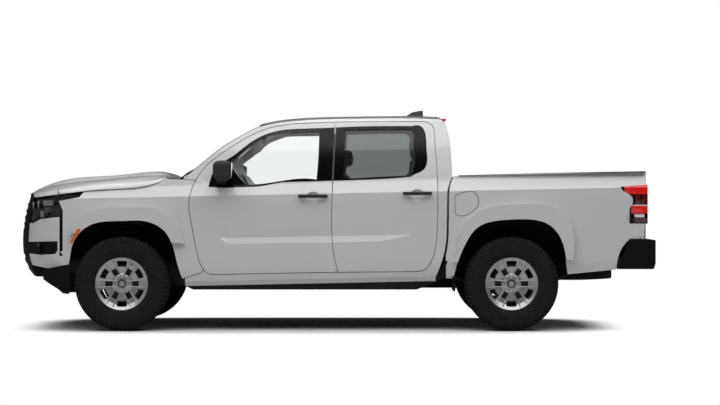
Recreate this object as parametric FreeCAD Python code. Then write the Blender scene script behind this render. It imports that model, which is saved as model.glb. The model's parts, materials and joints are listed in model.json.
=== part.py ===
# A crew-cab pickup truck on a ladder frame: hollow cab with four doors, open cargo bed, steered front
# wheels, live rear axle on leaf springs. Millimetres, +Z up, front towards -X, left side towards -Y.
# The origin is on the ground, at the middle of the overall length and width.
import FreeCAD, Part
import math
import os
from FreeCAD import Vector as V

# Overall sizes and places
LENGTH = 5340.0
WHEELBASE = 3200.0
FRONT_OVERHANG = 940.0
TRACK = 1570.0
ROOF_Z = 1797.0
FLARE_HALF_WIDTH = 927.0
NOSE_X = -LENGTH / 2
TAIL_X = LENGTH / 2
FRONT_AXLE_X = NOSE_X + FRONT_OVERHANG
REAR_AXLE_X = FRONT_AXLE_X + WHEELBASE
WHEEL_Y = TRACK / 2

# Wheels
TYRE_RADIUS = 388.0
TYRE_WIDTH = 265.0
RIM_RADIUS = 216.0
RIM_WIDTH = 214.0
BEAD_RADIUS = 203.0
BARREL_RADIUS = 190.0
HUB_OFFSET = 30.0
HUB_RADIUS = 62.0
STUD_CIRCLE = 57.0
DISC_RADIUS = 158.0
DISC_THICK = 26.0
STEER_AXIS_Y = 690.0

# Panels, walls and gaps
SHUT_GAP = 5.5
FIT = 0.3
SKIN = 24.0
DOOR_SKIN = (24.0, 10.0)
DOOR_DEPTH = (112.0, 42.0)
SEAL_GAP = 7.0
DOOR_FLANGE = 31.0
APERTURE_LIP = 19.0
CAB_WALL = 128.0
PILLAR_WALL = 84.0
ROOF_WALL = 46.0
GLASS = 5.0
GLASS_INSET = 14.0
FLOOR_BOTTOM_Z = 494.0
FLOOR_Z = 520.0
FIREWALL_X = -1212.0

# The body side: half width against height, bowed in plan and rising a little towards the tail
SIDE_BOW_RADIUS = 80000.0
SIDE_MID_X = -150.0
SIDE_RISE = 0.02
BELT = (857.0, 1215.0)
SIDE_LOWER = [
    [(837, 392), (868, 432)],
    [(868, 432), (882, 488)],
    [(882, 488), (892, 570), (897, 660), (898.5, 760), (897, 860), (897, 1010), (894, 1130)],
    [(894, 1130), BELT],
]
SIDE_UPPER = [
    [BELT, (774, 1500), (700, 1690)],
    [(700, 1690), (682, 1728), (650, 1757), (590, 1778)],
]

# The cab in side view, on its centre line: screen, roof and back wall
ROOF_CROWN_RADIUS = 5200.0
SCREEN_LINE = [(-1250, 1300), (-1164, 1373), (-1078, 1442), (-907, 1571), (-735, 1669), (-649, 1713),
               (-564, 1740)]
ROOF_LINE = [(-564, 1740), (-478, 1757), (-307, 1776), (-135, 1787), (95, 1793), (400, ROOF_Z),
             (700, ROOF_Z - 1), (860, 1790)]
BACK_LINE = [(912, 1777), (937, 1745), (955, 1690), (965, 1645), (974, 1565), (979, 1500), (984, 1400), (984, 1365),
             (979, 1335)]

# Driving values of the smaller pieces
ROOF_EDGE_RADIUS = 26.0
NOSE_WALL = 55.0
HOOD_THICK = 26.0
GRILLE_SLOTS = [848, 902, 956, 1010, 1064]
GRILLE_SLOT = 34.0
VALANCE_SLOTS = [520, 600]
BED_INNER_HALF = 768.0
BED_HOUSE_HALF = 565.0
BED_FLOOR_Z = 790.0
BED_FLOOR_THICK = 40.0
BED_FRONT_X = 1010.0
BED_RIBS = 9
BED_RIB_PITCH = 118.0
TAILGATE_X = 2532.0
TAILGATE_THICK = 58.0
TAILGATE_HALF = 695.0
TAILGATE_LOW = 800.0
TAILGATE_TOP = 1292.0
PLATE_POCKET_HALF = 175.0
PLATE_HOLES = 177.8
FACE_DEPTH = 26.0
SPOKES = 6
BALL_REACH = 135.0
RAIL_OUTER = 470.0
RAIL_INNER = 400.0
DROP_TOP_Z = 386.0
SPARE_TOP_Z = 622.0
SPARE_BEAM = (1840.0, 40.0)
BUMPER_INNER_X = 2630.0
WIPER_LIFT = 1.6
WIPER_FOOT = 24.4
LINER_OUTER_Y = 848.7
AXLE_TUBE = 44.0
SPRING_Y = 540.0
SPRING_FRONT_X = 925.0
SPRING_REAR_X = 2015.0
SPRING_EYE_Z = 480.0
SPRING_SEAT_Z = TYRE_RADIUS - AXLE_TUBE - FIT
SPRING_LEAF = 9.0
SPRING_LEAVES = [1.0, 0.85, 0.62, 0.4]
COLUMN_TILT = math.radians(26)
STEERING_CENTRE = (-700.0, -375.0, 1120.0)
LINER_RADIUS = 505.0
SPARE_X = 2025.0
EXHAUST_PIPE = 28.0
SILL_TOP_Z = 534.0
HINGE_REACH = 110.0
HINGE_HEIGHTS = (790, 1010)
HOOD_AXIS = (-1375.0, 1215.0)
HOOD_HINGE_Y = 660.0
HOOD_HINGE_R = 20.0
HOOD_RELIEF = 4.0
HOOD_RELIEF_ANGLES = (32.0, 38.0, 44.0, 50.0)
TAILGATE_AXIS = (2570.0, 812.0)
LAMP_TURN_X = 2505.0
FUEL_AXIS_X = 1004.0
LAMP_DEPTH_Y = 790.0
BAND_EDGE = 1.5
BAND_PROUD = 1.2
BAND_DEEP = 5.0
LEDGE_OUT = 885.5
LEDGE_REACH = 31.0
LEDGE_HEIGHT = 65.0
LEDGE_BACK = 262.0
LEDGE_START = -935.0
LEDGE_LOW_Z = 699.0
LEDGE_RISE = 0.0174
# Each run of the ledge: where it starts and ends, and how far it moves out (a minus sign: it starts out and comes in).
LEDGE_RUNS = ((-935.0, -860.0, -27.0), (-860.0, 400.0, 0.0), (400.0, 720.0, 27.0))
CUP_RADIUS = 92.0
CUP_DEPTH = 19.0
FRONT_HANDLE = (-282.0, -40.0, 1107.0)
REAR_HANDLE = (578.0, 815.0, 1130.0)
SPARE_RADIUS = 378.0

X_AXIS = V(1, 0, 0)
Y_AXIS = V(0, 1, 0)
Z_AXIS = V(0, 0, 1)
HERE = V(0, 0, 0)


def spline(points):
    curve = Part.BSplineCurve()
    curve.interpolate(points)
    return curve.toShape()


def outline(segments, place):
    # Each segment is a list of points: two make a line, more make a smooth curve through them.
    edges = []
    for segment in segments:
        points = [place(*p) for p in segment]
        edges.append(Part.makeLine(*points) if len(points) == 2 else spline(points))
    return Part.Wire(edges)


def polygon(points):
    # The straight segments of a closed outline.
    return [[a, b] for a, b in zip(points, points[1:] + points[:1])]


def side_view(x, z):
    return V(x, 0, z)


def front_view(y, z):
    return V(0, y, z)


def plan(x, y):
    return V(x, y, 0)


def face_in(place, segments):
    return Part.Face(outline(segments, place))


def pushed(face, direction, start, end):
    moved = face.copy()
    moved.translate(direction * start)
    return moved.extrude(direction * (end - start))


def side_prism(segments, y0, y1):
    return pushed(face_in(side_view, segments), Y_AXIS, y0, y1)


def left_prism(segments, inner=300):
    return side_prism(segments, -1200, -inner)


def front_prism(segments, x0, x1):
    return pushed(face_in(front_view, segments), X_AXIS, x0, x1)


def plan_prism(segments, z0, z1):
    return pushed(face_in(plan, segments), Z_AXIS, z0, z1)


def box(x0, x1, y0, y1, z0, z1):
    return Part.makeBox(x1 - x0, y1 - y0, z1 - z0, V(x0, y0, z0))


def rounded(a0, a1, b0, b1, radius):
    # The segments of a rectangle with rounded corners: lines and three-point arcs.
    r = radius
    k = r * (1 - math.sqrt(0.5))
    return [
        ("line", (a0 + r, b0), (a1 - r, b0)), ("arc", (a1 - r, b0), (a1 - k, b0 + k), (a1, b0 + r)),
        ("line", (a1, b0 + r), (a1, b1 - r)), ("arc", (a1, b1 - r), (a1 - k, b1 - k), (a1 - r, b1)),
        ("line", (a1 - r, b1), (a0 + r, b1)), ("arc", (a0 + r, b1), (a0 + k, b1 - k), (a0, b1 - r)),
        ("line", (a0, b1 - r), (a0, b0 + r)), ("arc", (a0, b0 + r), (a0 + k, b0 + k), (a0 + r, b0)),
    ]


def rounded_face(place, a0, a1, b0, b1, radius):
    edges = []
    for kind, *points in rounded(a0, a1, b0, b1, radius):
        points = [place(*p) for p in points]
        edges.append(Part.makeLine(*points) if kind == "line" else Part.Arc(*points).toShape())
    return Part.Face(Part.Wire(edges))


def bar_x(x0, x1, y0, y1, z0, z1, radius=12):
    return pushed(rounded_face(front_view, y0, y1, z0, z1, radius), X_AXIS, x0, x1)


def bar_y(x0, x1, y0, y1, z0, z1, radius=12):
    return pushed(rounded_face(side_view, x0, x1, z0, z1, radius), Y_AXIS, y0, y1)


def bar_z(x0, x1, y0, y1, z0, z1, radius=12):
    return pushed(rounded_face(plan, x0, x1, y0, y1, radius), Z_AXIS, z0, z1)


def rod(start, end, radius):
    return Part.makeCylinder(radius, (end - start).Length, start, end - start)


def bent_rod(points, radius, bend):
    # A round bar along straight runs joined by arcs.
    edges = []
    last = points[0]
    for before, here, after in zip(points, points[1:], points[2:]):
        u = (before - here).normalize()
        w = (after - here).normalize()
        half = u.getAngle(w) / 2
        reach = bend / math.tan(half)
        centre_line = (u + w).normalize()
        top = here + centre_line * (bend / math.sin(half) - bend)
        edges.append(Part.makeLine(last, here + u * reach))
        edges.append(Part.Arc(here + u * reach, top, here + w * reach).toShape())
        last = here + w * reach
    edges.append(Part.makeLine(last, points[-1]))
    path = Part.Wire(edges)
    start = points[0]
    ring = Part.Wire(Part.makeCircle(radius, start, points[1] - start))
    return path.makePipeShell([ring], True, False)


def turned(points, centre_x, centre_z):
    # A solid of revolution about a line along Y: points are (y, radius).
    wire = Part.Wire(Part.makePolygon([V(centre_x, y, centre_z + r) for y, r in points + points[:1]]))
    return Part.Face(wire).revolve(V(centre_x, 0, centre_z), Y_AXIS, 360)


def mirrored(shape):
    return shape.mirror(HERE, Y_AXIS)


def pair(shape):
    return Part.makeCompound([shape, mirrored(shape)])


def joined(shapes):
    whole = shapes[0].multiFuse(shapes[1:])
    return whole.removeSplitter()


def side_segments(lower, upper, bottom_z):
    # The side's section, drawn in by some way below and above the belt, from a chosen bottom height.
    below = [[(y - lower, z) for y, z in segment] for segment in SIDE_LOWER]
    if bottom_z > SIDE_LOWER[1][-1][1]:
        below = [[(p[0], max(p[1], bottom_z)) for p in below[2]]] + below[3:]
        below[0] = [p for i, p in enumerate(below[0]) if i == 0 or p[1] > bottom_z]
    above = [[(y - upper, z) for y, z in segment] for segment in SIDE_UPPER]
    if lower != upper:
        below.append([below[-1][-1], above[0][0]])
    return below + above


def bowed(segments, x0, x1):
    # Turn a section, drawn as (half width, height), into the left side's gently bowed surface.
    face = Part.Face(outline(segments, lambda y, z: V(SIDE_MID_X, -y, z)))
    axis = V(SIDE_MID_X, SIDE_BOW_RADIUS, 0)
    start = math.degrees((x0 - SIDE_MID_X) / SIDE_BOW_RADIUS)
    end = math.degrees((x1 - SIDE_MID_X) / SIDE_BOW_RADIUS)
    face.rotate(axis, Z_AXIS, start)
    solid = face.revolve(axis, Z_AXIS, end - start)
    solid.rotate(HERE, Y_AXIS, -math.degrees(SIDE_RISE))
    return solid


def side_solid(x0, x1, lower=0, upper=0, bottom_z=392.0, reach=-1000):
    # Everything inboard of the left side's outer surface, or of that surface drawn in.
    segments = side_segments(lower, upper, bottom_z)
    top = segments[-1][-1]
    low = segments[0][0]
    segments = segments + [[top, (reach, top[1])], [(reach, top[1]), (reach, low[1])], [(reach, low[1]), low]]
    return bowed(segments, x0, x1)


def side_wall(x0, x1, outer, inner):
    # A wall along the left side: outer and inner are how far its faces lie in, below and above the belt.
    out = side_segments(outer[0], outer[1], 392.0)
    back = side_segments(inner[0], inner[1], 392.0)
    back = [list(reversed(segment)) for segment in reversed(back)]
    segments = out + [[out[-1][-1], back[0][0]]] + back + [[back[-1][-1], out[0][0]]]
    return bowed(segments, x0, x1)


def half_width(z, x=SIDE_MID_X):
    # How far out the left side's surface is at a height, by straight lines between the section's points.
    points = [p for segment in SIDE_LOWER + SIDE_UPPER for p in segment]
    level = z - SIDE_RISE * x
    bow = (x - SIDE_MID_X) ** 2 / (2 * SIDE_BOW_RADIUS)
    for (y0, z0), (y1, z1) in zip(points, points[1:]):
        if z0 <= level <= z1 and z1 > z0:
            return y0 + (y1 - y0) * (level - z0) / (z1 - z0) - bow
    return points[0][0] - bow if level < points[0][1] else points[-1][0] - bow


def inset(segments, distance):
    # A closed outline drawn in all round (or out, if negative): every point moves along its corner's bisector.
    points = [p for segment in segments for p in segment[:-1]]
    count = len(points)
    area = sum(points[i - 1][0] * points[i][1] - points[i][0] * points[i - 1][1] for i in range(count))
    turn = 1 if area > 0 else -1
    moved = []
    for i, (x, z) in enumerate(points):
        x0, z0 = points[i - 1]
        x1, z1 = points[(i + 1) % count]
        a = math.atan2(z - z0, x - x0)
        b = math.atan2(z1 - z, x1 - x)
        half = math.atan2(math.sin(b - a), math.cos(b - a)) / 2
        middle = a + half + turn * math.pi / 2
        reach = distance / max(math.cos(half), 0.3)
        moved.append((x + reach * math.cos(middle), z + reach * math.sin(middle)))
    result = []
    start = 0
    for segment in segments:
        end = start + len(segment) - 1
        result.append([moved[i % count] for i in range(start, end + 1)])
        start = end
    return result


def inset_prism(segments, distance, y0=-1200, y1=-300):
    return side_prism(inset(segments, distance), y0, y1)


# Side-view outlines
FRONT_DOOR = [
    [(16, 1721), (-202, 1712), (-448, 1689), (-611, 1640), (-869, 1491), (-1060, 1332), (-1131, 1222),
     (-1168, 1107), (-1176, 1020), (-1166, 940), (-1115, 673), (-1090, 572), (-1050, 500), (-990, 467)],
    [(-990, 467), (41, 486)],
    [(41, 486), (7, 640), (-6, 760), (-7, 1080), (0, 1280), (16, 1721)],
]
REAR_DOOR = [
    [(20 + SHUT_GAP, 1721), (730, 1725)],
    [(730, 1725), (790, 1716), (824, 1690), (840, 1610), (859, 1285), (861, 1080), (859, 876), (848, 730),
     (820, 600), (770, 520), (690, 490)],
    [(690, 490), (41 + SHUT_GAP, 486)],
    [(41 + SHUT_GAP, 486), (7 + SHUT_GAP, 640), (-6 + SHUT_GAP, 760), (-7 + SHUT_GAP, 1080),
     (1 + SHUT_GAP, 1280), (20 + SHUT_GAP, 1721)],
]
FRONT_WINDOW = [
    [(-849, 1388), (-661, 1532), (-511, 1620), (-374, 1644), (-112, 1654)],
    [(-112, 1654), (-113, 1560), (-132, 1244)],
    [(-132, 1244), (-409, 1235), (-572, 1210), (-708, 1204)],
    [(-708, 1204), (-790, 1290), (-849, 1388)],
]
REAR_WINDOW = [
    [(107, 1661), (640, 1669)],
    [(640, 1669), (663, 1645), (668, 1560), (664, 1330), (640, 1279)],
    [(640, 1279), (90, 1250)],
    [(90, 1250), (107, 1661)],
]
WINDOW_BAND = [
    [(-1020, 1183), (-1000, 1262), (-957, 1352), (-850, 1422), (-715, 1526), (-580, 1609), (-443, 1651), (-305, 1665),
     (-99, 1672), (107, 1682), (383, 1689), (658, 1689)],
    [(658, 1689), (748, 1672), (768, 1620), (776, 1491), (774, 1367), (758, 1335), (710, 1302), (641, 1268)],
    [(641, 1268), (109, 1238), (-123, 1232), (-409, 1224)],
    [(-409, 1224), (-490, 1209), (-572, 1193), (-708, 1183), (-885, 1176)],
    [(-885, 1176), (-1020, 1183)],
]
FENDER = [
    [(-2234, 655), (-2230, 938)], [(-2230, 938), (-2212, 982)], [(-2212, 982), (-2248, 1067)],
    [(-2248, 1067), (-2079, 1099)], [(-2079, 1099), (-2044, 1143)],
    [(-2044, 1143), (-1851, 1157), (-1663, 1167), (-1516, 1187), (-1442, 1212), (-1378, 1250)],
    [(-1378, 1250), (-1131, 1237)],
    [(-1131, 1237), (-1138, 1222), (-1174, 1107), (-1182, 1020), (-1172, 940), (-1121, 673), (-1096, 572),
     (-1060, 500)],
    [(-1060, 500), (-1085, 480)],
    [(-1085, 480), (-1232, 430)],
    [(-1232, 430), (-2150, 640)],
    [(-2150, 640), (-2234, 655)],
]
BED_SIDE = [
    [(1000, 1272), (1800, 1293), (2592, 1311)],
    [(2592, 1311), (2575, 1208), (2589, 1076), (2567, 871), (2560, 757)],
    [(2560, 757), (2447, 757)],
    [(2447, 757), (2422, 735), (2337, 505)],
    [(2337, 505), (1935, 464)],
    [(1935, 464), (995, 430)],
    [(995, 430), (863, 430)],
    [(863, 430), (912, 561), (942, 683), (954, 834), (957, 1047), (961, 1150), (968, 1195), (983, 1238), (1000, 1272)],
]
TAIL_LAMP = [
    [(2368, 1186), (2640, 1206)],
    [(2640, 1206), (2640, 882)],
    [(2640, 882), (2441, 882)],
    [(2441, 882), (2441, 1008), (2464, 1040), (2462, 1100), (2420, 1132), (2368, 1186)],
]
FUEL_DOOR = [
    [(1008, 1112), (1061, 1131), (1165, 1134), (1190, 1105), (1188, 1027), (1111, 960), (1045, 949), (1008, 972)],
    [(1008, 972), (1008, 1112)],
]



HEADLAMP = polygon([
    (-2700, 878), (-2486, 884), (-2414, 919), (-2231, 938), (-2213, 982), (-2249, 1068),
    (-2080, 1100), (-2052, 1139), (-2462, 1093), (-2700, 1066),
])
BUMPER_CORNER = [
    [(-2700, 878), (-2486, 884)], [(-2486, 884), (-2414, 919)], [(-2414, 919), (-2231, 938)],
    [(-2231, 938), (-2235, 655)], [(-2235, 655), (-2168, 548)], [(-2168, 548), (-2287, 524), (-2349, 511)],
    [(-2349, 511), (-2700, 560)], [(-2700, 560), (-2700, 878)],
]
FOG_RECESS = polygon([(-2700, 720), (-2260, 738), (-2260, 663), (-2280, 632), (-2415, 622), (-2700, 640)])


# Cab
def cab_outline(wall):
    # The side silhouette, drawn in by a wall: firewall and cowl in front, then screen, roof and back wall.
    front = FIREWALL_X
    segments = [
        [(front, 300), (front, 900)], [(front, 900), (-1385, 1060)], [(-1385, 1060), (-1390, 1222)],
        [(-1390, 1222), (-1268, 1258)], [(-1268, 1258), SCREEN_LINE[0]], SCREEN_LINE, ROOF_LINE,
        [ROOF_LINE[-1]] + BACK_LINE, [BACK_LINE[-1], (962, 1298), (947, 1258), (941, 1210), (940, 1136)],
        [(940, 1136), (937, 929), (925, 782), (895, 662), (849, 544)], [(849, 544), (835, 300)], [(835, 300), (front, 300)],
    ]
    return face_in(side_view, inset(segments, wall) if wall else segments)


def crowned(face):
    # Turn a side silhouette into a body whose screen and roof are crowned across the car.
    axis = V(0, 0, ROOF_Z - ROOF_CROWN_RADIUS)
    face = face.copy()
    face.rotate(axis, X_AXIS, -20)
    return face.revolve(axis, X_AXIS, 40)


def make_cab():
    left = side_solid(-1440, 1060)
    outer = left.common(mirrored(left)).common(crowned(cab_outline(0)))
    in_left = side_solid(-1440, 1060, CAB_WALL, PILLAR_WALL, FLOOR_Z - 60)
    inner = in_left.common(mirrored(in_left)).common(crowned(cab_outline(ROOF_WALL)))
    inner = inner.common(box(-1500, 1100, -1000, 1000, FLOOR_Z, 1900))
    return outer, inner


def door_prism(door, distance):
    return inset_prism(door, distance)


def make_cab_shell():
    outer, inner = make_cab()
    shell = outer.cut(inner)
    shell = shell.cut(box(-1500, 1100, -760, 760, 300, FLOOR_BOTTOM_Z))
    shell = shell.cut(crowned_screen(0)).cut(back_window(0))
    half = shell.common(box(-1500, 1100, -1000, 0, 300, 1900))
    rim = (DOOR_SKIN[0] + SEAL_GAP, DOOR_SKIN[1] + SEAL_GAP)
    outer_zone = side_wall(-1190, 900, (-12, -12), rim)
    inner_zone = side_wall(-1190, 900, (rim[0] - 1, rim[1] - 1), (CAB_WALL + 40, PILLAR_WALL + 40))
    for door in (FRONT_DOOR, REAR_DOOR):
        half = half.cut(outer_zone.common(door_prism(door, -SHUT_GAP)))
        hole = inner_zone.common(door_prism(door, APERTURE_LIP))
        half = half.cut(hole.cut(box(-1300, 1000, -1000, 0, 0, SILL_TOP_Z)))
    behind_fender = side_wall(-1500, -1040, (-12, -12), (SKIN + FIT, SKIN + FIT))
    half = half.cut(behind_fender.common(side_prism(inset(FENDER, -SHUT_GAP), -1200, -300)))
    tunnel = bar_x(FIREWALL_X + 1, -430, -150, 150, 300, 640, 60).common(box(-1300, 0, -200, 0, FLOOR_BOTTOM_Z, 700))
    hollow = bar_x(FIREWALL_X - 2, -460, -126, 126, 290, 616, 50)
    half = half.fuse(tunnel).cut(hollow)
    hinge_seat = box(HOOD_AXIS[0] - 15, HOOD_AXIS[0] + 15, -HOOD_HINGE_Y - 20, -HOOD_HINGE_Y + 20, 1150,
                     HOOD_AXIS[1] - HOOD_HINGE_R - FIT)
    half = half.fuse(hinge_seat)
    return joined([half, mirrored(half)])


SCREEN_OUTLINE = polygon([
    (-742, 1236), (742, 1236), (600, 1716), (-600, 1716),
])
BACK_GLASS_OUTLINE = polygon([(-560, 1330), (560, 1330), (520, 1640), (-520, 1640)])


def crowned_screen(distance):
    # The windscreen's opening, seen from the front, through the front half of the cab only.
    return front_prism(inset(SCREEN_OUTLINE, distance), -1300, -500)


def back_window(distance):
    return front_prism(inset(BACK_GLASS_OUTLINE, distance), 930, 1100)


def make_cab_glass():
    band = crowned(cab_outline(GLASS_INSET)).cut(crowned(cab_outline(GLASS_INSET + GLASS)))
    screen = band.common(crowned_screen(FIT))
    rear = band.common(back_window(FIT))
    return Part.makeCompound(screen.Solids + rear.Solids)


# Doors
def window_band(door, window, x0, x1, proud, deep, edge):
    # The dark surround of a door's window, this far proud of the door's surface and this deep in it.
    band = side_wall(x0, x1, (-proud, -proud), (deep, deep)).common(left_prism(inset(WINDOW_BAND, edge)))
    return band.common(door_prism(door, BAND_EDGE + edge)).cut(inset_prism(window, 0))


def make_ledge():
    # What is cut from both doors' lower third: full depth in the middle, running out to the surface at both ends.
    parts = []
    for start, end, drift in LEDGE_RUNS:
        low = LEDGE_LOW_Z + (start - LEDGE_START) * LEDGE_RISE
        depth = LEDGE_OUT + max(-drift, 0)
        section = polygon([(-depth - LEDGE_REACH, low), (-depth, low + LEDGE_HEIGHT),
                           (-depth - LEDGE_REACH, low + LEDGE_HEIGHT + LEDGE_BACK)])
        face = face_in(lambda y, z: V(start, y, z), section)
        parts.append(face.extrude(V(end - start, -drift, (end - start) * LEDGE_RISE)))
    return joined(parts)


def make_door(door, window, x0, x1, handle):
    skin = side_wall(x0, x1, (0, 0), DOOR_SKIN).common(door_prism(door, 0))
    skin = skin.cut(make_ledge())
    skin = skin.cut(window_band(door, window, x0, x1, 5, BAND_DEEP + FIT, -FIT))
    depth = side_wall(x0, x1, (DOOR_SKIN[0] - 1, DOOR_SKIN[1] - 1), DOOR_DEPTH)
    tub = depth.common(door_prism(door, DOOR_FLANGE)).common(box(x0, x1, -1000, 0, SILL_TOP_Z + 11, 1900))
    hinge_x = x0 + HINGE_REACH
    hinge_zone = inset_prism(door, APERTURE_LIP + FIT)
    behind_skin = side_wall(x0, hinge_x, (DOOR_SKIN[0] + SEAL_GAP + 4, 200), (DOOR_DEPTH[0] - 20, 240))
    hinges = []
    for z in HINGE_HEIGHTS:
        band = box(x0 - 50, hinge_x, -1000, -300, z, z + 60)
        hinges.append(behind_skin.common(hinge_zone).common(band))
    whole = joined([skin, tub] + hinges).cut(inset_prism(window, 0))
    x, z = (handle[0] + handle[1]) / 2, handle[2] - 6
    cup = Part.makeSphere(CUP_RADIUS, V(x, -half_width(z, x) - CUP_RADIUS + CUP_DEPTH, z))
    return whole.cut(cup)


def make_door_glass(window, x0, x1):
    band = side_wall(x0, x1, (GLASS_INSET, GLASS_INSET), (GLASS_INSET + GLASS, GLASS_INSET + GLASS))
    return band.common(inset_prism(window, FIT))


def make_handle(x0, x1, z):
    y = -half_width(z, (x0 + x1) / 2)
    grip = bar_x(x0, x1, y - 34, y - 16, z - 14, z + 14, 8)
    front_post = bar_y(x0 + 4, x0 + 34, y - 20, y - FIT, z - 12, z + 12, 8)
    rear_post = bar_y(x1 - 34, x1 - 4, y - 20, y - FIT, z - 12, z + 12, 8)
    return joined([grip, front_post, rear_post])


def make_mirror():
    # A shell-like head on a short arm that stands on the sail panel.
    y = -half_width(1240, -930)
    arm = bar_y(-955, -875, y - 80, y + 30, 1212, 1254, 18)
    foot = bar_y(-985, -872, y - 16, y + 30, 1204, 1268, 22)
    head = bar_x(-968, -820, y - 232, y - 58, 1236, 1398, 42).common(bar_y(-968, -820, y - 232, y - 58, 1236, 1398, 50))
    glass_seat = bar_x(-824, -810, y - 222, y - 68, 1248, 1388, 34)
    door_side = side_solid(-1190, -600, -BAND_PROUD - FIT, -BAND_PROUD - FIT)
    return joined([foot, arm, head]).cut([glass_seat, door_side])


# Front
NOSE_LEVELS = [(420, -2560), (560, -2650), (760, NOSE_X), (960, -2648), (1160, -2570)]
NOSE_CURVE = [(0, 0), (14, 220), (60, 440), (150, 640), (240, 745), (330, 812)]
NOSE_BACK_X = -2040.0
NOSE_BEND_X = -2225.0


def nose_section(z, front, wall):
    tip = front + wall
    side = half_width(z, NOSE_BEND_X) - wall
    back = half_width(z, NOSE_BACK_X) - wall
    left = [(tip + dx, -y * side / half_width(900, NOSE_BEND_X)) for dx, y in NOSE_CURVE]
    for share in (0, 0.33, 0.67, 1):
        left.append((NOSE_BEND_X + (NOSE_BACK_X - NOSE_BEND_X) * share, -(side + (back - side) * share)))
    right = [(x, -y) for x, y in left]
    curve = list(reversed(right)) + left[1:]
    return Part.Wire([
        spline([V(x, y, z) for x, y in curve]),
        Part.makeLine(V(NOSE_BACK_X, -back, z), V(NOSE_BACK_X, back, z)),
    ])


def nose_solid(wall):
    return Part.makeLoft([nose_section(z, x, wall) for z, x in NOSE_LEVELS], True, False)


NOSE_SPLIT_Y = 606.0
VALANCE_TOP_Z = 795.0
GRILLE_OUTLINE = polygon([
    (-NOSE_SPLIT_Y + FIT, 1040), (-NOSE_SPLIT_Y + FIT, VALANCE_TOP_Z + FIT), (NOSE_SPLIT_Y - FIT, VALANCE_TOP_Z + FIT),
    (NOSE_SPLIT_Y - FIT, 1040), (300, 1078), (-300, 1078),
])
VALANCE_OUTLINE = polygon([
    (-NOSE_SPLIT_Y + FIT, VALANCE_TOP_Z), (-NOSE_SPLIT_Y + FIT, 540), (-480, 430), (480, 430),
    (NOSE_SPLIT_Y - FIT, 540), (NOSE_SPLIT_Y - FIT, VALANCE_TOP_Z),
])


def make_nose_pieces():
    shell = nose_solid(0).cut(nose_solid(NOSE_WALL))
    grille = shell.common(front_prism(GRILLE_OUTLINE, -2800, -2380))
    slots = []
    for z in GRILLE_SLOTS:
        slots.append(bar_x(-2800, -2300, -520, 520, z - GRILLE_SLOT / 2, z + GRILLE_SLOT / 2, GRILLE_SLOT / 2 - 1))
    grille = grille.cut(slots)
    valance = shell.common(front_prism(VALANCE_OUTLINE, -2800, -2380))
    valance = valance.cut([bar_x(-2800, -2300, -430, 430, z - 20, z + 20, 16) for z in VALANCE_SLOTS])
    side_zone = left_prism(BUMPER_CORNER, NOSE_SPLIT_Y)
    corner = shell.common(side_zone).cut(left_prism(FOG_RECESS, NOSE_SPLIT_Y))
    fog = shell.common(left_prism(inset(FOG_RECESS, FIT), NOSE_SPLIT_Y))
    lamp = shell.common(left_prism(inset(HEADLAMP, FIT), NOSE_SPLIT_Y))
    return grille, Part.makeCompound([valance, fog, mirrored(fog)]), pair(corner), pair(lamp)


HOOD_STATIONS = [
    (-1378, [(806, 1248), (792, 1259), (750, 1268), (600, 1277), (430, 1283), (380, 1286), (0, 1288)]),
    (-1700, [(860, 1166), (846, 1200), (790, 1232), (600, 1262), (430, 1276), (380, 1290), (0, 1302)]),
    (-2044, [(858, 1146), (838, 1180), (780, 1205), (600, 1232), (440, 1246), (390, 1262), (0, 1274)]),
    (-2340, [(765, 1114), (745, 1137), (690, 1157), (560, 1185), (430, 1205), (380, 1220), (0, 1240)]),
    (-2470, [(625, 1100), (600, 1120), (540, 1140), (430, 1160), (350, 1178), (200, 1188), (0, 1194)]),
    (-2552, [(440, 1118), (400, 1130), (300, 1141), (200, 1148), (150, 1151), (100, 1153), (0, 1155)]),
]


def fender_swept(angle):
    # The fender's rear corner, a little larger, where the hood meets it when it is open by this angle.
    grow = HOOD_RELIEF
    corner = side_wall(-1440, -1290, (-grow, -grow), (SKIN + grow, SKIN + grow))
    corner = corner.common(left_prism([[(x, z + grow) for x, z in segment] for segment in FENDER]))
    corner.rotate(V(HOOD_AXIS[0], 0, HOOD_AXIS[1]), Y_AXIS, -angle)
    return corner


def make_hood():
    wires = []
    for x, half in HOOD_STATIONS:
        (y0, z0), (_, z1) = half[-2:]
        half = half[:-1] + [(y0 / 2, z0 + (z1 - z0) * 0.75), half[-1]]
        top = [V(x, -y, z) for y, z in half] + [V(x, y, z) for y, z in reversed(half[:-1])]
        low = [p - V(0, 0, HOOD_THICK) for p in reversed(top)]
        wires.append(Part.Wire([spline(top), Part.makeLine(top[-1], low[0]), spline(low),
                                Part.makeLine(low[-1], top[0])]))
    panel = Part.makeLoft(wires, True, False)
    shut = [[(-2700, 1066), (-2462, 1093)], [(-2462, 1093), FENDER[5][0]], FENDER[5]]
    shut = [[(x, z + SHUT_GAP + 0.5) for x, z in segment] for segment in shut]
    below = polygon([shut[-1][-1], (-1340, 1256), (-1340, 1000), (-2700, 1000), shut[0][0]])[:-1]
    panel = panel.cut(side_prism(shut + below, -1000, 1000))
    panel = panel.cut([pair(fender_swept(angle)) for angle in HOOD_RELIEF_ANGLES])
    x, z = HOOD_AXIS
    hinges = []
    for y in (-HOOD_HINGE_Y, HOOD_HINGE_Y):
        barrel = Part.makeCylinder(HOOD_HINGE_R, 30, V(x, y - 15, z), Y_AXIS)
        arm = box(x - HOOD_HINGE_R, x - 4, y - 15, y + 15, z, z + 46)
        hinges += [barrel, arm]
    return joined([panel] + hinges)


def make_fender():
    wall = side_wall(-2400, -1050, (0, 0), (SKIN, SKIN)).common(left_prism(FENDER))
    return arched(wall, FRONT_FLARE, FRONT_ARCH)


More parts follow.
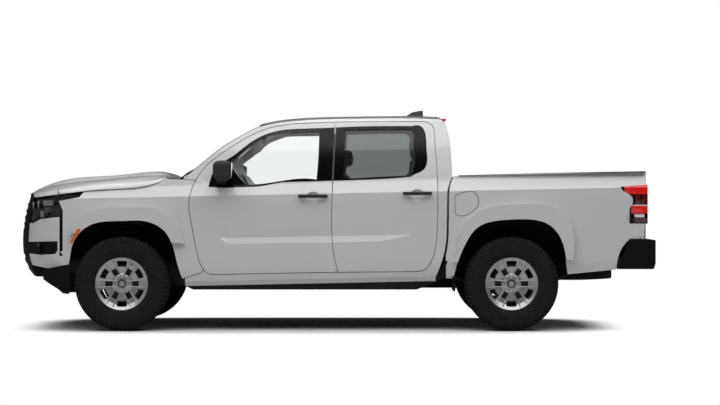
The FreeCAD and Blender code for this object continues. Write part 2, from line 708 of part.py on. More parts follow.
FRONT_ARCH = [(-1232, 430), (-1290, 622), (-1371, 817), (-1509, 897), (-1722, 905), (-1974, 874), (-2099, 774),
              (-2150, 640)]
FRONT_FLARE = [(-2150, 800), (-2074, 937), (-1948, 1006), (-1660, 1028), (-1422, 1006), (-1283, 899),
               (-1215, 710)]
REAR_ARCH = [(1935, 464), (1916, 578), (1894, 696), (1849, 798), (1798, 856), (1725, 897), (1637, 915), (1506, 918),
             (1359, 908), (1256, 886), (1169, 834), (1110, 754), (1059, 651), (1022, 548), (995, 430)]
REAR_FLARE = [(985, 560), (1030, 720), (1081, 886), (1227, 1011), (1506, 1052), (1784, 1039), (1944, 915),
              (1990, 724), (1975, 575)]


def arched(wall, outer, arch):
    # Add the flare's step and lip to a wall, then cut the wheel opening through both.
    segments = [outer, [outer[-1], outer[0]]]
    body = side_prism(segments, -(FLARE_HALF_WIDTH - 14), -872)
    lip = side_prism(inset(segments, 10), -FLARE_HALF_WIDTH, -880)
    ends = [(arch[-1][0], 300), (arch[0][0], 300)]
    opening = left_prism([arch, [arch[-1], ends[0]], ends, [ends[1], arch[0]]])
    return joined([wall, body, lip]).cut(opening)


# Cargo bed
def make_bed():
    outer = side_solid(930, 2640)
    wall = outer.common(side_prism(BED_SIDE, -1200, -BED_INNER_HALF))
    hollow = side_solid(930, 2640, SKIN, SKIN).common(box(900, 2700, -1000, -600, 300, BED_FLOOR_Z - BED_FLOOR_THICK))
    lamp = left_prism(inset(TAIL_LAMP, -FIT), TAILGATE_HALF + 11 - FIT).cut(
        box(2300, LAMP_TURN_X - FIT, -LAMP_DEPTH_Y + FIT, 0, 800, 1400))
    flap = side_wall(960, 1250, (-10, -10), (60, 60)).common(left_prism(inset(FUEL_DOOR, -5)))
    wall = wall.cut([hollow, lamp])
    wall = arched(wall, REAR_FLARE, REAR_ARCH)
    wall_left = wall.cut(flap)
    wall_right = mirrored(wall)
    floor = box(BED_FRONT_X, 2526, -BED_INNER_HALF - 1, BED_INNER_HALF + 1, BED_FLOOR_Z - BED_FLOOR_THICK, BED_FLOOR_Z)
    ribs = []
    for i in range(BED_RIBS):
        y = (i - (BED_RIBS - 1) / 2) * BED_RIB_PITCH
        ribs.append(box(BED_FRONT_X + 60, 2526, y - 24, y + 24, BED_FLOOR_Z - 1, BED_FLOOR_Z + 9))
    head = box(BED_FRONT_X, BED_FRONT_X + 45, -BED_INNER_HALF - 1, BED_INNER_HALF + 1, BED_FLOOR_Z - 1, 1262)
    houses = []
    for side in (-1, 1):
        y0, y1 = sorted((side * BED_HOUSE_HALF, side * (BED_INNER_HALF + 1)))
        houses.append(bar_y(REAR_AXLE_X - 440, REAR_AXLE_X + 440, y0, y1, BED_FLOOR_Z - 150, BED_FLOOR_Z + 190, 130)
                      .common(box(900, 2000, y0, y1, BED_FLOOR_Z - 1, BED_FLOOR_Z + 200)))
    inner_well = bar_y(REAR_AXLE_X - 424, REAR_AXLE_X + 424, -BED_INNER_HALF - 40, -BED_HOUSE_HALF - 16, 500, BED_FLOOR_Z + 174, 120)
    post = box(2470, 2588, -BED_INNER_HALF - 1, -TAILGATE_HALF - 8, BED_FLOOR_Z - 40, TAILGATE_TOP - 8).cut(lamp)
    tub = joined([wall_left, wall_right, floor, head, post, mirrored(post)] + ribs + houses)
    tub = tub.cut(inner_well).cut(mirrored(inner_well))
    return tub


def make_fuel_door():
    flap = side_wall(960, 1250, (0, 0), (7, 7)).common(left_prism(FUEL_DOOR))
    y = -half_width(1040, FUEL_AXIS_X)
    lug = box(FUEL_AXIS_X - 0.7, FUEL_AXIS_X + 16, y + 5, y + 16, 1025, 1060)
    return joined([flap, lug])


def make_tail_lamps():
    lamp = side_solid(2300, 2640).common(left_prism(TAIL_LAMP, TAILGATE_HALF + 11))
    lamp = lamp.cut([box(2592, 2700, -1000, 0, 800, 1400), box(2300, LAMP_TURN_X, -LAMP_DEPTH_Y, 0, 800, 1400)])
    return pair(lamp)


def make_tailgate():
    leaf = bar_y(TAILGATE_X, TAILGATE_X + TAILGATE_THICK, -TAILGATE_HALF, TAILGATE_HALF, TAILGATE_LOW, TAILGATE_TOP, 14)
    press = bar_x(TAILGATE_X + TAILGATE_THICK - 8, TAILGATE_X + TAILGATE_THICK + 1, -560, 560,
                  TAILGATE_LOW + 110, TAILGATE_TOP - 170, 40)
    handle = bar_x(TAILGATE_X + TAILGATE_THICK - 22, TAILGATE_X + TAILGATE_THICK + 1, -120, 120,
                   TAILGATE_TOP - 120, TAILGATE_TOP - 45, 20)
    grip = bar_x(TAILGATE_X + TAILGATE_THICK - 24, TAILGATE_X + TAILGATE_THICK - 2, -90, 90,
                 TAILGATE_TOP - 92, TAILGATE_TOP - 66, 10)
    pins = [rod(V(TAILGATE_AXIS[0], s * (TAILGATE_HALF - 5), TAILGATE_AXIS[1]),
                V(TAILGATE_AXIS[0], s * (TAILGATE_HALF + 8 - FIT), TAILGATE_AXIS[1]), 8) for s in (-1, 1)]
    return joined([leaf.cut([press, handle]), grip] + pins)


def make_rear_bumper():
    profile = [(2431, 733), (2451, 751), (2560, 751), (2656, 747), (TAIL_X, 728), (TAIL_X - 1, 600), (2662, 560),
               (2640, 508), (2347, 508)]
    bar = side_prism(polygon(profile), -870, 870)
    plan_shape = plan_prism([
        [(2300, -872), (2600, -872)], [(2600, -872), (2645, -862), (2662, -820)], [(2662, -820), (TAIL_X, -560)],
        [(TAIL_X, -560), (TAIL_X, 560)], [(TAIL_X, 560), (2662, 820)], [(2662, 820), (2645, 862), (2600, 872)],
        [(2600, 872), (2300, 872)], [(2300, 872), (2300, -872)]], 400, 900)
    inside = box(2300, BUMPER_INNER_X, -840, 840, 400, 739).common(plan_prism(polygon([
        (2300, -838), (2590, -838), (2628, -800), (2636, -540), (2636, 540), (2628, 800), (2590, 838), (2300, 838)]),
        400, 739))
    under_bed = box(2300, 2597, -BED_INNER_HALF - 12, BED_INNER_HALF + 12, 742, 900)
    bumper = bar.common(plan_shape).cut([inside, under_bed])
    plate_pocket = bar_x(TAIL_X - 10, TAIL_X + 5, -PLATE_POCKET_HALF, PLATE_POCKET_HALF, 590, 712, 8)
    holes = [rod(V(2600, y, 651), V(2700, y, 651), 3.5) for y in (-PLATE_HOLES / 2, PLATE_HOLES / 2)]
    return bumper.cut([plate_pocket] + holes)


# Wheels
def make_tyre(x, side):
    # The tyre's section, turned about the axle: (offset from the wheel's mid-plane, radius).
    h = TYRE_WIDTH / 2
    rim = RIM_WIDTH / 2
    profile = [
        (-h + 24, TYRE_RADIUS - 13), (-h + 50, TYRE_RADIUS - 3), (0, TYRE_RADIUS), (h - 50, TYRE_RADIUS - 3),
        (h - 24, TYRE_RADIUS - 13), (h - 7, TYRE_RADIUS - 42), (h, TYRE_RADIUS - 92), (h - 6, RIM_RADIUS + 40),
        (rim + 2, RIM_RADIUS + 6), (rim + 1, RIM_RADIUS + FIT), (rim - 8.4, RIM_RADIUS + FIT),
        (rim - 16.4, BEAD_RADIUS + FIT), (-rim + 16.4, BEAD_RADIUS + FIT), (-rim + 8.4, RIM_RADIUS + FIT),
        (-rim - 1, RIM_RADIUS + FIT), (-rim - 2, RIM_RADIUS + 6), (-h + 6, RIM_RADIUS + 40), (-h, TYRE_RADIUS - 92), (-h + 7, TYRE_RADIUS - 42),
    ]
    return turned([(side * WHEEL_Y + y, r) for y, r in profile], x, TYRE_RADIUS)


def ring_sector(r0, r1, angle, half_angle):
    # A flat piece between two radii about the wheel's centre, in side view.
    a0 = math.radians(angle - half_angle)
    a1 = math.radians(angle + half_angle)
    p = [V(r * math.cos(a), 0, r * math.sin(a)) for r, a in ((r0, a0), (r0, a1), (r1, a1), (r1, a0))]
    mid = math.radians(angle)
    arcs = [
        Part.Arc(p[0], V(r0 * math.cos(mid), 0, r0 * math.sin(mid)), p[1]).toShape(), Part.makeLine(p[1], p[2]),
        Part.Arc(p[2], V(r1 * math.cos(mid), 0, r1 * math.sin(mid)), p[3]).toShape(), Part.makeLine(p[3], p[0]),
    ]
    return Part.Face(Part.Wire(arcs))


def make_wheel():
    # A left wheel about the origin, outside towards -Y: barrel, face with two rings of windows, hub and disc.
    w = RIM_WIDTH / 2
    face = -w + FACE_DEPTH
    barrel = turned([
        (-w, RIM_RADIUS - 2), (-w, RIM_RADIUS), (-w + 8, RIM_RADIUS), (-w + 16, BEAD_RADIUS), (w - 16, BEAD_RADIUS),
        (w - 8, RIM_RADIUS), (w, RIM_RADIUS), (w, BARREL_RADIUS + 2), (face + 46, BARREL_RADIUS - 3),
        (face + 34, 80), (face + 34, HUB_RADIUS - 40), (face + 2, HUB_RADIUS - 40), (face + 6, HUB_RADIUS + 4),
        (face + 16, HUB_RADIUS + 26), (face + 6, 120), (face - 4, BARREL_RADIUS - 14),
    ], 0, 0)
    cuts = []
    for i in range(SPOKES):
        angle = 90 + 360 / SPOKES * i
        outer = ring_sector(0.655 * RIM_RADIUS, 0.875 * RIM_RADIUS, angle, 13.5)
        cuts.append(pushed(outer, Y_AXIS, -w - 20, face + 60))
        radius = RIM_RADIUS * 0.5
        slot = rounded_face(side_view, radius - 29, radius + 29, -24, 24, 8)
        slot.rotate(HERE, Y_AXIS, -(angle + 180 / SPOKES))
        cuts.append(pushed(slot, Y_AXIS, -w - 20, face + 60))
        a = math.radians(angle)
        stud = V(STUD_CIRCLE * math.cos(a), face + 10, STUD_CIRCLE * math.sin(a))
        cuts.append(rod(stud - V(0, 30, 0), stud, 14))
    wheel = barrel.cut(cuts)
    cap = turned([(face - 6, 0), (face - 6, 24), (face - 1, 31), (face + 16, 31), (face + 16, 0)], 0, 0)
    nuts = [rod(V(STUD_CIRCLE * math.cos(a), face - 9, STUD_CIRCLE * math.sin(a)),
                V(STUD_CIRCLE * math.cos(a), face + 10 + 0.01, STUD_CIRCLE * math.sin(a)), 10.5)
            for a in [math.radians(90 + 360 / SPOKES * i) for i in range(SPOKES)]]
    mount = face + 34
    disc = turned([(mount - 0.01, 0), (mount - 0.01, 82), (mount + 30, 82), (mount + 30, DISC_RADIUS),
                   (mount + 30 + DISC_THICK, DISC_RADIUS), (mount + 30 + DISC_THICK, 74), (mount + 8, 74),
                   (mount + 8, 0)], 0, 0)
    return joined([wheel, cap, disc] + nuts)


def placed_wheel(wheel, x, side):
    copy = wheel.copy() if side < 0 else mirrored(wheel)
    copy.translate(V(x, side * WHEEL_Y, TYRE_RADIUS))
    return copy


def make_knuckle():
    # The left knuckle: hub carrier, two ball joint ears, steering arm and brake caliper.
    x = FRONT_AXLE_X
    z = TYRE_RADIUS
    inner = -WHEEL_Y - RIM_WIDTH / 2 + FACE_DEPTH + 34 + 30 + DISC_THICK
    hub = rod(V(x, -STEER_AXIS_Y + 30, z), V(x, inner + 6, z), 56)
    spindle = rod(V(x, -STEER_AXIS_Y, z), V(x, inner - 48 + FIT, z), 30)
    ear = bar_y(x - 24, x + 24, -STEER_AXIS_Y - 20, -STEER_AXIS_Y + 20, z - BALL_REACH, z + BALL_REACH, 16)
    arm = bar_x(x, x + 150, -STEER_AXIS_Y - 14, -STEER_AXIS_Y + 14, z - 70, z - 40, 10)
    caliper = pushed(ring_sector(100, 182, 20, 24), Y_AXIS, inner - 38, inner + 40)
    caliper.translate(V(x, 0, z))
    slot = turned([(inner - DISC_THICK - 6, 0), (inner - DISC_THICK - 6, DISC_RADIUS + 6), (inner + 6, DISC_RADIUS + 6),
                   (inner + 6, 0)], x, z)
    web = bar_x(x + 20, x + 150, inner + 8, -STEER_AXIS_Y + 8, z + 10, z + 60, 12)
    caliper = caliper.cut(slot)
    return joined([hub, spindle, ear, arm, web, caliper])


# Chassis
RAIL_TOP = [(-2430, 570), (-2150, 570), (-1950, 640), (-1500, 640), (-1260, 480), (885, 480), (1120, 650),
            (1820, 650), (2080, 570), (BUMPER_INNER_X - FIT, 570)]
RAIL_LOW = [(BUMPER_INNER_X - FIT, 530), (2440, 500), (2060, 460), (1800, 540), (1140, 540), (840, 370), (700, 320), (-1180, 320),
            (-1300, 375), (-1520, 530),
            (-1930, 530), (-2130, 460), (-2430, 460)]
CROSSMEMBERS = [(-2400, 515), (1140, 595), (1560, 595), (SPARE_BEAM[0], SPARE_TOP_Z + FIT + SPARE_BEAM[1])]
DROPPED_CROSSMEMBERS = [-800, -250, 300]


def make_frame():
    rail = side_prism(polygon(RAIL_TOP + RAIL_LOW), -RAIL_OUTER, -RAIL_INNER)
    parts = [rail, mirrored(rail)]
    for x, z in CROSSMEMBERS:
        parts.append(bar_y(x - 38, x + 38, -RAIL_INNER - 1, RAIL_INNER + 1, z - 40, z + 40, 14))
    parts.append(bar_y(2380, 2430, -RAIL_OUTER + 20, RAIL_OUTER - 20, SPARE_TOP_Z + 12, SPARE_TOP_Z + 72, 12))
    for x in DROPPED_CROSSMEMBERS:
        parts.append(bar_y(x - 34, x + 34, -210, 210, 332, DROP_TOP_Z, 12))
        for side in (-1, 1):
            y0, y1 = sorted((side * 160, side * (RAIL_INNER + 1)))
            parts.append(bar_y(x - 34, x + 34, y0, y1, DROP_TOP_Z - 6, 452, 12))
    for x in (-1120, -380, 300, 820):
        for side in (-1, 1):
            y0, y1 = sorted((side * (RAIL_OUTER - 1), side * 600))
            parts.append(bar_y(x - 40, x + 40, y0, y1, 440, FLOOR_BOTTOM_Z - FIT, 12))
    for x, low in ((1110, 590), (1840, 590), (2380, 520)):
        for side in (-1, 1):
            y0, y1 = sorted((side * RAIL_INNER, side * RAIL_OUTER))
            parts.append(bar_z(x - 40, x + 40, y0, y1, low, BED_FLOOR_Z - BED_FLOOR_THICK - FIT, 10))
    for side in (-1, 1):
        for x, z in ((SPRING_FRONT_X, SPRING_EYE_Z), (SPRING_REAR_X, SPRING_EYE_Z)):
            arm_y = sorted((side * (RAIL_OUTER - 1), side * (SPRING_Y - 36)))
            parts.append(bar_y(x - 28, x + 28, arm_y[0], arm_y[1], z - 24, z + 16, 12))
            ends = sorted((side * (SPRING_Y - 37), side * (SPRING_Y + 34)))
            parts.append(rod(V(x, ends[0], z), V(x, ends[1], z), 9))
        wall = sorted((side * (RAIL_OUTER - 8), side * (RAIL_OUTER - 23)))
        top = sorted((side * (RAIL_OUTER - 23), side * 590))
        x = FRONT_AXLE_X
        parts.append(box(x - 60, x + 60, wall[0], wall[1], 630, 812))
        parts.append(box(x - 60, x + 60, top[0], top[1], 800 + FIT, 812))
        nose = sorted((side * RAIL_INNER, side * RAIL_OUTER))
        parts.append(box(-2480, -2429, nose[0] + 5, nose[1] - 5, 530, 565))
    return joined(parts)


def make_springs():
    # Leaf packs: each leaf an arc through its eyes, shorter towards the bottom.
    leaves = []
    centre = (SPRING_FRONT_X + SPRING_REAR_X) / 2
    half = (SPRING_REAR_X - SPRING_FRONT_X) / 2
    drop = SPRING_EYE_Z - SPRING_SEAT_Z
    radius = (half ** 2 + drop ** 2) / (2 * drop)
    top_z = SPRING_SEAT_Z + radius
    for i, share in enumerate(SPRING_LEAVES):
        r0 = radius + i * (SPRING_LEAF - 0.05)
        reach = half * share
        leaf = Part.makeCylinder(r0 + SPRING_LEAF, 60, V(centre, -SPRING_Y - 30, top_z), Y_AXIS)
        leaf = leaf.cut(Part.makeCylinder(r0, 60, V(centre, -SPRING_Y - 30, top_z), Y_AXIS))
        leaf = leaf.common(box(centre - reach, centre + reach, -900, 0, 0, SPRING_EYE_Z + 60))
        leaves.append(leaf)
    for x in (SPRING_FRONT_X, SPRING_REAR_X):
        leaves.append(Part.makeCylinder(26, 60, V(x, -SPRING_Y - 30, SPRING_EYE_Z), Y_AXIS))
    pack = joined(leaves)
    for x in (SPRING_FRONT_X, SPRING_REAR_X):
        pack = pack.cut(Part.makeCylinder(9 + FIT, 80, V(x, -SPRING_Y - 40, SPRING_EYE_Z), Y_AXIS))
    return pair(pack)


def make_rear_axle():
    x = REAR_AXLE_X
    z = TYRE_RADIUS
    inner = WHEEL_Y + RIM_WIDTH / 2 - FACE_DEPTH - 34 - 30 - DISC_THICK
    tube_part = turned([(-inner + 8, 0), (-inner + 8, 150), (-inner + 14, 150), (-inner + 22, 60), (-600, AXLE_TUBE), (-220, AXLE_TUBE),
                        (-150, 120), (-60, 158), (60, 158), (150, 120), (220, AXLE_TUBE), (600, AXLE_TUBE), (inner - 22, 60),
                        (inner - 14, 150), (inner - 8, 150), (inner - 8, 0)], x, z)
    shafts = [rod(V(x, s * (inner - 10), z), V(x, s * (inner + 48 - FIT), z), 30) for s in (-1, 1)]
    nose = rod(V(x - 250, 0, z + 12), V(x, 0, z), 66)
    return joined([tube_part, nose] + shafts)


def make_driveshaft():
    front = V(-560, 0, 452)
    rear = V(REAR_AXLE_X - 250 - 3, 0, TYRE_RADIUS + 12)
    shaft = rod(front, rear, 36)
    shaft = joined([shaft, rod(front, front + V(70, 0, 0), 52), rod(rear - V(60, 0, 0), rear + V(2, 0, 0), 52)])
    ends = [box(-700, -560, -100, 100, 300, 600), box(REAR_AXLE_X - 253.5, REAR_AXLE_X, -100, 100, 300, 600)]
    return shaft.cut(ends)


def make_engine():
    block = bar_x(-2060, -1440, -230, 230, 560, 1010, 60)
    sump = bar_x(-2040, -1500, -140, 140, 430, 570, 40)
    bell = Part.makeCone(196, 104, 225, V(-1450, 0, 500), X_AXIS)
    gearbox = bar_x(-1240, -560 - FIT, -100, 100, DROP_TOP_Z + FIT, 590, 50)
    cover = bar_x(-2020, -1480, -200, 200, 1000, 1100, 40)
    mounts = bar_y(-1800, -1720, -RAIL_INNER + FIT, RAIL_INNER - FIT, 566, 620, 14)
    return joined([block, sump, bell, gearbox, cover, mounts])


def make_radiator():
    return bar_y(-2400, -2340, -380, 380, 555 + FIT, 1040, 10)


def make_front_suspension():
    # A cross frame under the rails, and on each side two arms out to the knuckle and a spring and damper.
    x = FRONT_AXLE_X
    z = TYRE_RADIUS
    beams = []
    for dx in (-155, 155):
        beams.append(bar_y(x + dx - 35, x + dx + 35, -RAIL_OUTER, RAIL_OUTER, 300, 380, 20))
        for side in (-1, 1):
            y0, y1 = sorted((side * RAIL_INNER, side * RAIL_OUTER))
            beams.append(bar_z(x + dx - 35, x + dx + 35, y0, y1, 370, 530 - FIT, 12))
    beams.append(bar_x(x - 130, x + 130, -60, 60, 300, 340, 12))
    ball_low = V(x, -STEER_AXIS_Y, z - BALL_REACH - 32)
    ball_top = V(x, -STEER_AXIS_Y, z + BALL_REACH + 34)
    arms = []
    for dx in (-155, 155):
        arms.append(rod(V(x + dx, -RAIL_OUTER - FIT, 322), ball_low, 15))
        arms.append(rod(V(x + dx * 0.7, -RAIL_OUTER + 15, 600), ball_top, 12)
                    .cut(box(x - 300, x + 300, -RAIL_OUTER - FIT, -300, 400, 800)))
    low_stud = rod(ball_low - V(0, 0, 10), V(x, -STEER_AXIS_Y, z - BALL_REACH - FIT), 20)
    top_stud = rod(ball_top + V(0, 0, 14), V(x, -STEER_AXIS_Y, z + BALL_REACH + FIT), 15)
    spring_seat = bar_x(x - 85, x + 85, -575, -520, 270, 320, 12)
    damper = rod(V(x, -547, 300), V(x, -532, 810), 24).cut(box(x - 60, x + 60, -600, -480, 800, 840))
    spring = rod(V(x, -545, 420), V(x, -535, 760), 54)
    lower = joined(arms[::2] + [low_stud, spring_seat, damper, spring])
    upper = joined(arms[1::2] + [top_stud])
    return Part.makeCompound([joined(beams), lower, mirrored(lower), upper, mirrored(upper)])


def make_exhaust():
    down = V(-1540, 230 + EXHAUST_PIPE + FIT, 640)
    pipe = bent_rod([down, V(-1500, down.y, 350), V(300, 270, 348), V(540, 300, 370)], EXHAUST_PIPE, 90)
    box_part = bar_x(520, 980, 190, RAIL_INNER - FIT, 340, 450, 50)
    tail = bent_rod([V(970, 300, 420), V(1130, 300, 505), V(1590, 300, 505), V(1800, 470, 500), V(1960, 612, 478),
                     V(2380, 612, 450)], EXHAUST_PIPE - 2, 70)
    return joined([pipe, box_part, tail])


def make_fuel_tank():
    return bar_x(380, 1050, -RAIL_INNER + FIT, -90, 330, 470, 40)


def make_spare():
    # The spare lies flat under the bed's tail, on its own steel disc.
    tyre = [V(SPARE_X + r, 0, z) for z, r in [(390, 203), (390, 240), (400, 375), (420, SPARE_RADIUS),
            (590, SPARE_RADIUS), (610, 375), (622, 240), (622, 203)]]
    disc = [V(SPARE_X + r, 0, z) for z, r in [(400, 204), (400, 192), (480, 180), (486, 60), (486, 0), (500, 0),
            (500, 64), (496, 190), (610, 195), (610, 204)]]
    solids = []
    for points in (tyre, disc):
        face = Part.Face(Part.makePolygon(points + points[:1]))
        solids.append(face.revolve(V(SPARE_X, 0, 0), Z_AXIS, 360))
    return joined(solids)


# Inside the cab
def make_seats():
    parts = []
    for y in (-375, 375):
        cushion = bar_y(-560, -60, y - 240, y + 240, 660, 820, 55)
        back = side_prism(polygon([(-110, 690), (20, 690), (150, 1310), (60, 1330), (-20, 1290)]), y - 235, y + 235)
        rest = bar_y(62, 162, y - 130, y + 130, 1360, 1500, 45)
        posts = [rod(V(108, y + d, 1300), V(112, y + d, 1400), 6) for d in (-60, 60)]
        base = bar_y(-480, -120, y - 200, y + 200, FLOOR_Z + FIT, 665, 20)
        parts.append(joined([cushion, back, rest, base] + posts))
    cushion = bar_y(280, 770, -650, 650, 640, 830, 55)
    back = side_prism(polygon([(660, 690), (800, 690), (858, 1150), (885, 1330), (805, 1350), (750, 1300)]), -640, 640)
    base = bar_y(330, 740, -600, 600, FLOOR_Z + FIT, 650, 20)
    rests = [bar_y(800, 890, y - 120, y + 120, 1335, 1460, 40) for y in (-400, 400)]
    parts.append(joined([cushion, back, base] + rests))
    return Part.makeCompound(parts)


def make_dash():
    top = side_prism(polygon([(-1140, 870), (-1160, 985), (-1290, 1060), (-1290, 1110), (-1190, 1180), (-1100, 1213), (-930, 1220),
                              (-860, 1190), (-840, 1080), (-950, 920), (-1080, 860)]), -715, 715)
    console = bar_x(-1010, -120, -110, 110, 640 + FIT, 880, 40)
    foot = bar_x(-425, -130, -90, 90, FLOOR_Z + FIT, 700, 20)
    stack = bar_y(-1050, -900, -120, 120, 700, 1000, 30)
    centre = V(*STEERING_CENTRE)
    axis = V(math.cos(COLUMN_TILT), 0, math.sin(COLUMN_TILT))
    column = rod(centre - axis * 240, centre - axis * (34 + FIT), 36)
    return joined([top, console, foot, stack, column])


def make_steering_wheel():
    axis = V(math.cos(COLUMN_TILT), 0, math.sin(COLUMN_TILT))
    centre = V(*STEERING_CENTRE)
    ring = Part.makeTorus(182, 15, centre, axis)
    hub = rod(centre - axis * 34, centre + axis * 6, 68)
    parts = [ring, hub]
    across = Y_AXIS
    up = axis.cross(across)
    for d in (across, across * -1, up * (-1 if up.z > 0 else 1)):
        parts.append(rod(centre - axis * 10, centre - axis * 4 + d * 178, 11))
    return joined(parts)


def make_liners():
    # Inside the front arch, a thin shell over the tyre.
    x = FRONT_AXLE_X
    z = TYRE_RADIUS
    shell = Part.makeCylinder(LINER_RADIUS + 6, LINER_OUTER_Y - 455, V(x, -LINER_OUTER_Y, z), Y_AXIS).cut(
        Part.makeCylinder(LINER_RADIUS, 400, V(x, -850, z), Y_AXIS))
    shell = shell.common(box(x - 700, x + 700, -870, -300, 505, 1200)).cut(box(x - 700, x, -900, 0, 0, 650))
    return pair(shell)


def make_wipers():
    # Two wiper arms with their blades, lying just above the screen's foot.
    parts = []
    lift = V(-0.65, 0, 0.76) * WIPER_LIFT
    for pivot_y, tip_y in ((-560, -60), (20, 520)):
        points = []
        for y, (cx, cz) in ((pivot_y, (-1262, 1290)), (pivot_y + 120, (-1235, 1313)), (tip_y, (-1215, 1330))):
            points.append(V(cx, y, cz - y ** 2 / (2 * ROOF_CROWN_RADIUS)) + lift)
        parts.append(joined([rod(points[0], points[1], 7), rod(points[1], points[2], 7),
                             rod(points[0] - V(0, 0, WIPER_FOOT), points[0] + V(0, 0, 8), 13)]))
    return Part.makeCompound(parts)


def make_door_trim(door, window, x0, x1, handle):
    return [window_band(door, window, x0, x1, BAND_PROUD, BAND_DEEP, 0), make_handle(*handle)]


def make_roof_trim():
    # The fin near the roof's rear end.
    fin = side_prism(polygon([(624, 1780), (624, 1799), (676, 1832), (740, 1846), (770, 1847), (772, 1780)]), -34, 34)
    taper = front_prism(polygon([(-34, 1780), (34, 1780), (30, 1802), (7, 1843), (4, 1849), (-4, 1849), (-7, 1843),
                                 (-30, 1802)]), 600, 800)
    fin = fin.common(taper).cut(crowned(cab_outline(0)))
    fin.translate(V(0, 0, FIT))
    return fin


def save(name, shape):
    solids = shape.Solids
    whole = solids[0] if len(solids) == 1 else Part.makeCompound(solids)
    whole.exportStep("parts/" + name + ".step")


def main():
    os.makedirs("parts", exist_ok=True)
    save("cab_shell", make_cab_shell())
    save("cab_glass", make_cab_glass())
    fender = make_fender()
    save("front_fenders", pair(fender))
    save("hood", make_hood())
    grille, valance, corners, lamps = make_nose_pieces()
    save("grille", grille)
    save("front_valance", valance)
    save("front_bumper", corners)
    save("headlamps", lamps)
    save("arch_liners", make_liners())
    doors = [("front", FRONT_DOOR, FRONT_WINDOW, -1190, 60, FRONT_HANDLE),
             ("rear", REAR_DOOR, REAR_WINDOW, -20, 900, REAR_HANDLE)]
    for name, door, window, x0, x1, handle in doors:
        panel = make_door(door, window, x0, x1, handle)
        glass = make_door_glass(window, x0, x1)
        trim = make_door_trim(door, window, x0, x1, handle)
        if name == "front":
            trim.append(make_mirror())
        for suffix, shape in (("", panel), ("_glass", glass), ("_trim", Part.makeCompound(trim))):
            save("door_" + name + "_left" + suffix, shape)
            save("door_" + name + "_right" + suffix, mirrored(shape))
    save("roof_trim", make_roof_trim())
    save("cargo_bed", make_bed())
    save("fuel_door", make_fuel_door())
    save("tail_lamps", make_tail_lamps())
    save("tailgate", make_tailgate())
    save("rear_bumper", make_rear_bumper())
    wheel = make_wheel()
    for name, x in (("front", FRONT_AXLE_X), ("rear", REAR_AXLE_X)):
        for side_name, side in (("left", -1), ("right", 1)):
            save("tyre_" + name + "_" + side_name, make_tyre(x, side))
            save("wheel_" + name + "_" + side_name, placed_wheel(wheel, x, side))
    knuckle = make_knuckle()
    save("knuckle_left", knuckle)
    save("knuckle_right", mirrored(knuckle))
    save("ladder_frame", make_frame())
    save("leaf_springs", make_springs())
    save("rear_axle", make_rear_axle())
    save("driveshaft", make_driveshaft())
    save("engine_block", make_engine())
    save("radiator", make_radiator())
    save("front_suspension", make_front_suspension())
    save("exhaust", make_exhaust())
    save("fuel_tank", make_fuel_tank())
    save("spare_wheel", make_spare())
    save("seats", make_seats())
    save("dashboard", make_dash())
    save("steering_wheel", make_steering_wheel())
    save("wipers", make_wipers())


if __name__ == "__main__":
    main()
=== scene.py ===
import json
import math

import bpy
from bpy.props import FloatProperty, FloatVectorProperty, PointerProperty
from mathutils import Matrix, Vector

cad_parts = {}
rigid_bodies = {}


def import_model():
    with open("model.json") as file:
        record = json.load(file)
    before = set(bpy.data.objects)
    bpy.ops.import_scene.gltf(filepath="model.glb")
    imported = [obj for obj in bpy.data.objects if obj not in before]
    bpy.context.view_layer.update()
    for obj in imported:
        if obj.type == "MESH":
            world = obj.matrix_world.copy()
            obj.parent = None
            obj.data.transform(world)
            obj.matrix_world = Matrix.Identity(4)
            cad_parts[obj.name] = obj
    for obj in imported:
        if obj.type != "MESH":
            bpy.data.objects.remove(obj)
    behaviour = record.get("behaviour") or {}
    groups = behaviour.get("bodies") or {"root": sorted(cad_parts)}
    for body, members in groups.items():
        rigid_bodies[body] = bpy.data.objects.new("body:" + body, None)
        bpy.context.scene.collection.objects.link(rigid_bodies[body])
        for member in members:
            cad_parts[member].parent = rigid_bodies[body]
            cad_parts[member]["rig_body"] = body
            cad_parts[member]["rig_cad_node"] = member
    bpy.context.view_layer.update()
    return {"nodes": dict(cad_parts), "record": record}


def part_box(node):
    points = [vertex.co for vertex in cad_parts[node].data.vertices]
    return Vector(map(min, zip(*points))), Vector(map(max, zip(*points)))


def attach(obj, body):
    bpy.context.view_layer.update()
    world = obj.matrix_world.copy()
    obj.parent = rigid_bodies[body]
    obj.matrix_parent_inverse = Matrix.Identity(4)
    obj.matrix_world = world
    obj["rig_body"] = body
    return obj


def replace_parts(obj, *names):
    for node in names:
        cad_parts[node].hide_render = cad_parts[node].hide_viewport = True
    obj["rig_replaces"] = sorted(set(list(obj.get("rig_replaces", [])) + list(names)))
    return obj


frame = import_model()

bl_info = {
    "name": "Crew-cab pickup truck",
    "version": (1, 0, 0),
    "blender": (4, 5, 0),
    "location": "View3D > Sidebar > Pickup",
    "description": "Finishes, tyres, lamps, seats and trim for the pickup truck's frame",
    "category": "Object",
}

# The photograph's camera, in metres: where it stood, and its lens on a 36 mm wide sensor.
CAMERA_PLACE = (0.237, -16.37, 1.125)
CAMERA_LENS = 94.365
CAMERA_SHIFT = (-0.0019, -0.01175)

ROOT = "truck_body"
SIDES = (("left", -1), ("right", 1))
WHEELS = [(end, side, sign) for end in ("front", "rear") for side, sign in SIDES]


def linear(text):
    # An sRGB hex value as the linear colour that shaders take.
    parts = []
    for i in (1, 3, 5):
        c = int(text[i:i + 2], 16) / 255
        parts.append(c / 12.92 if c <= 0.04045 else ((c + 0.055) / 1.055) ** 2.4)
    return (*parts, 1.0)


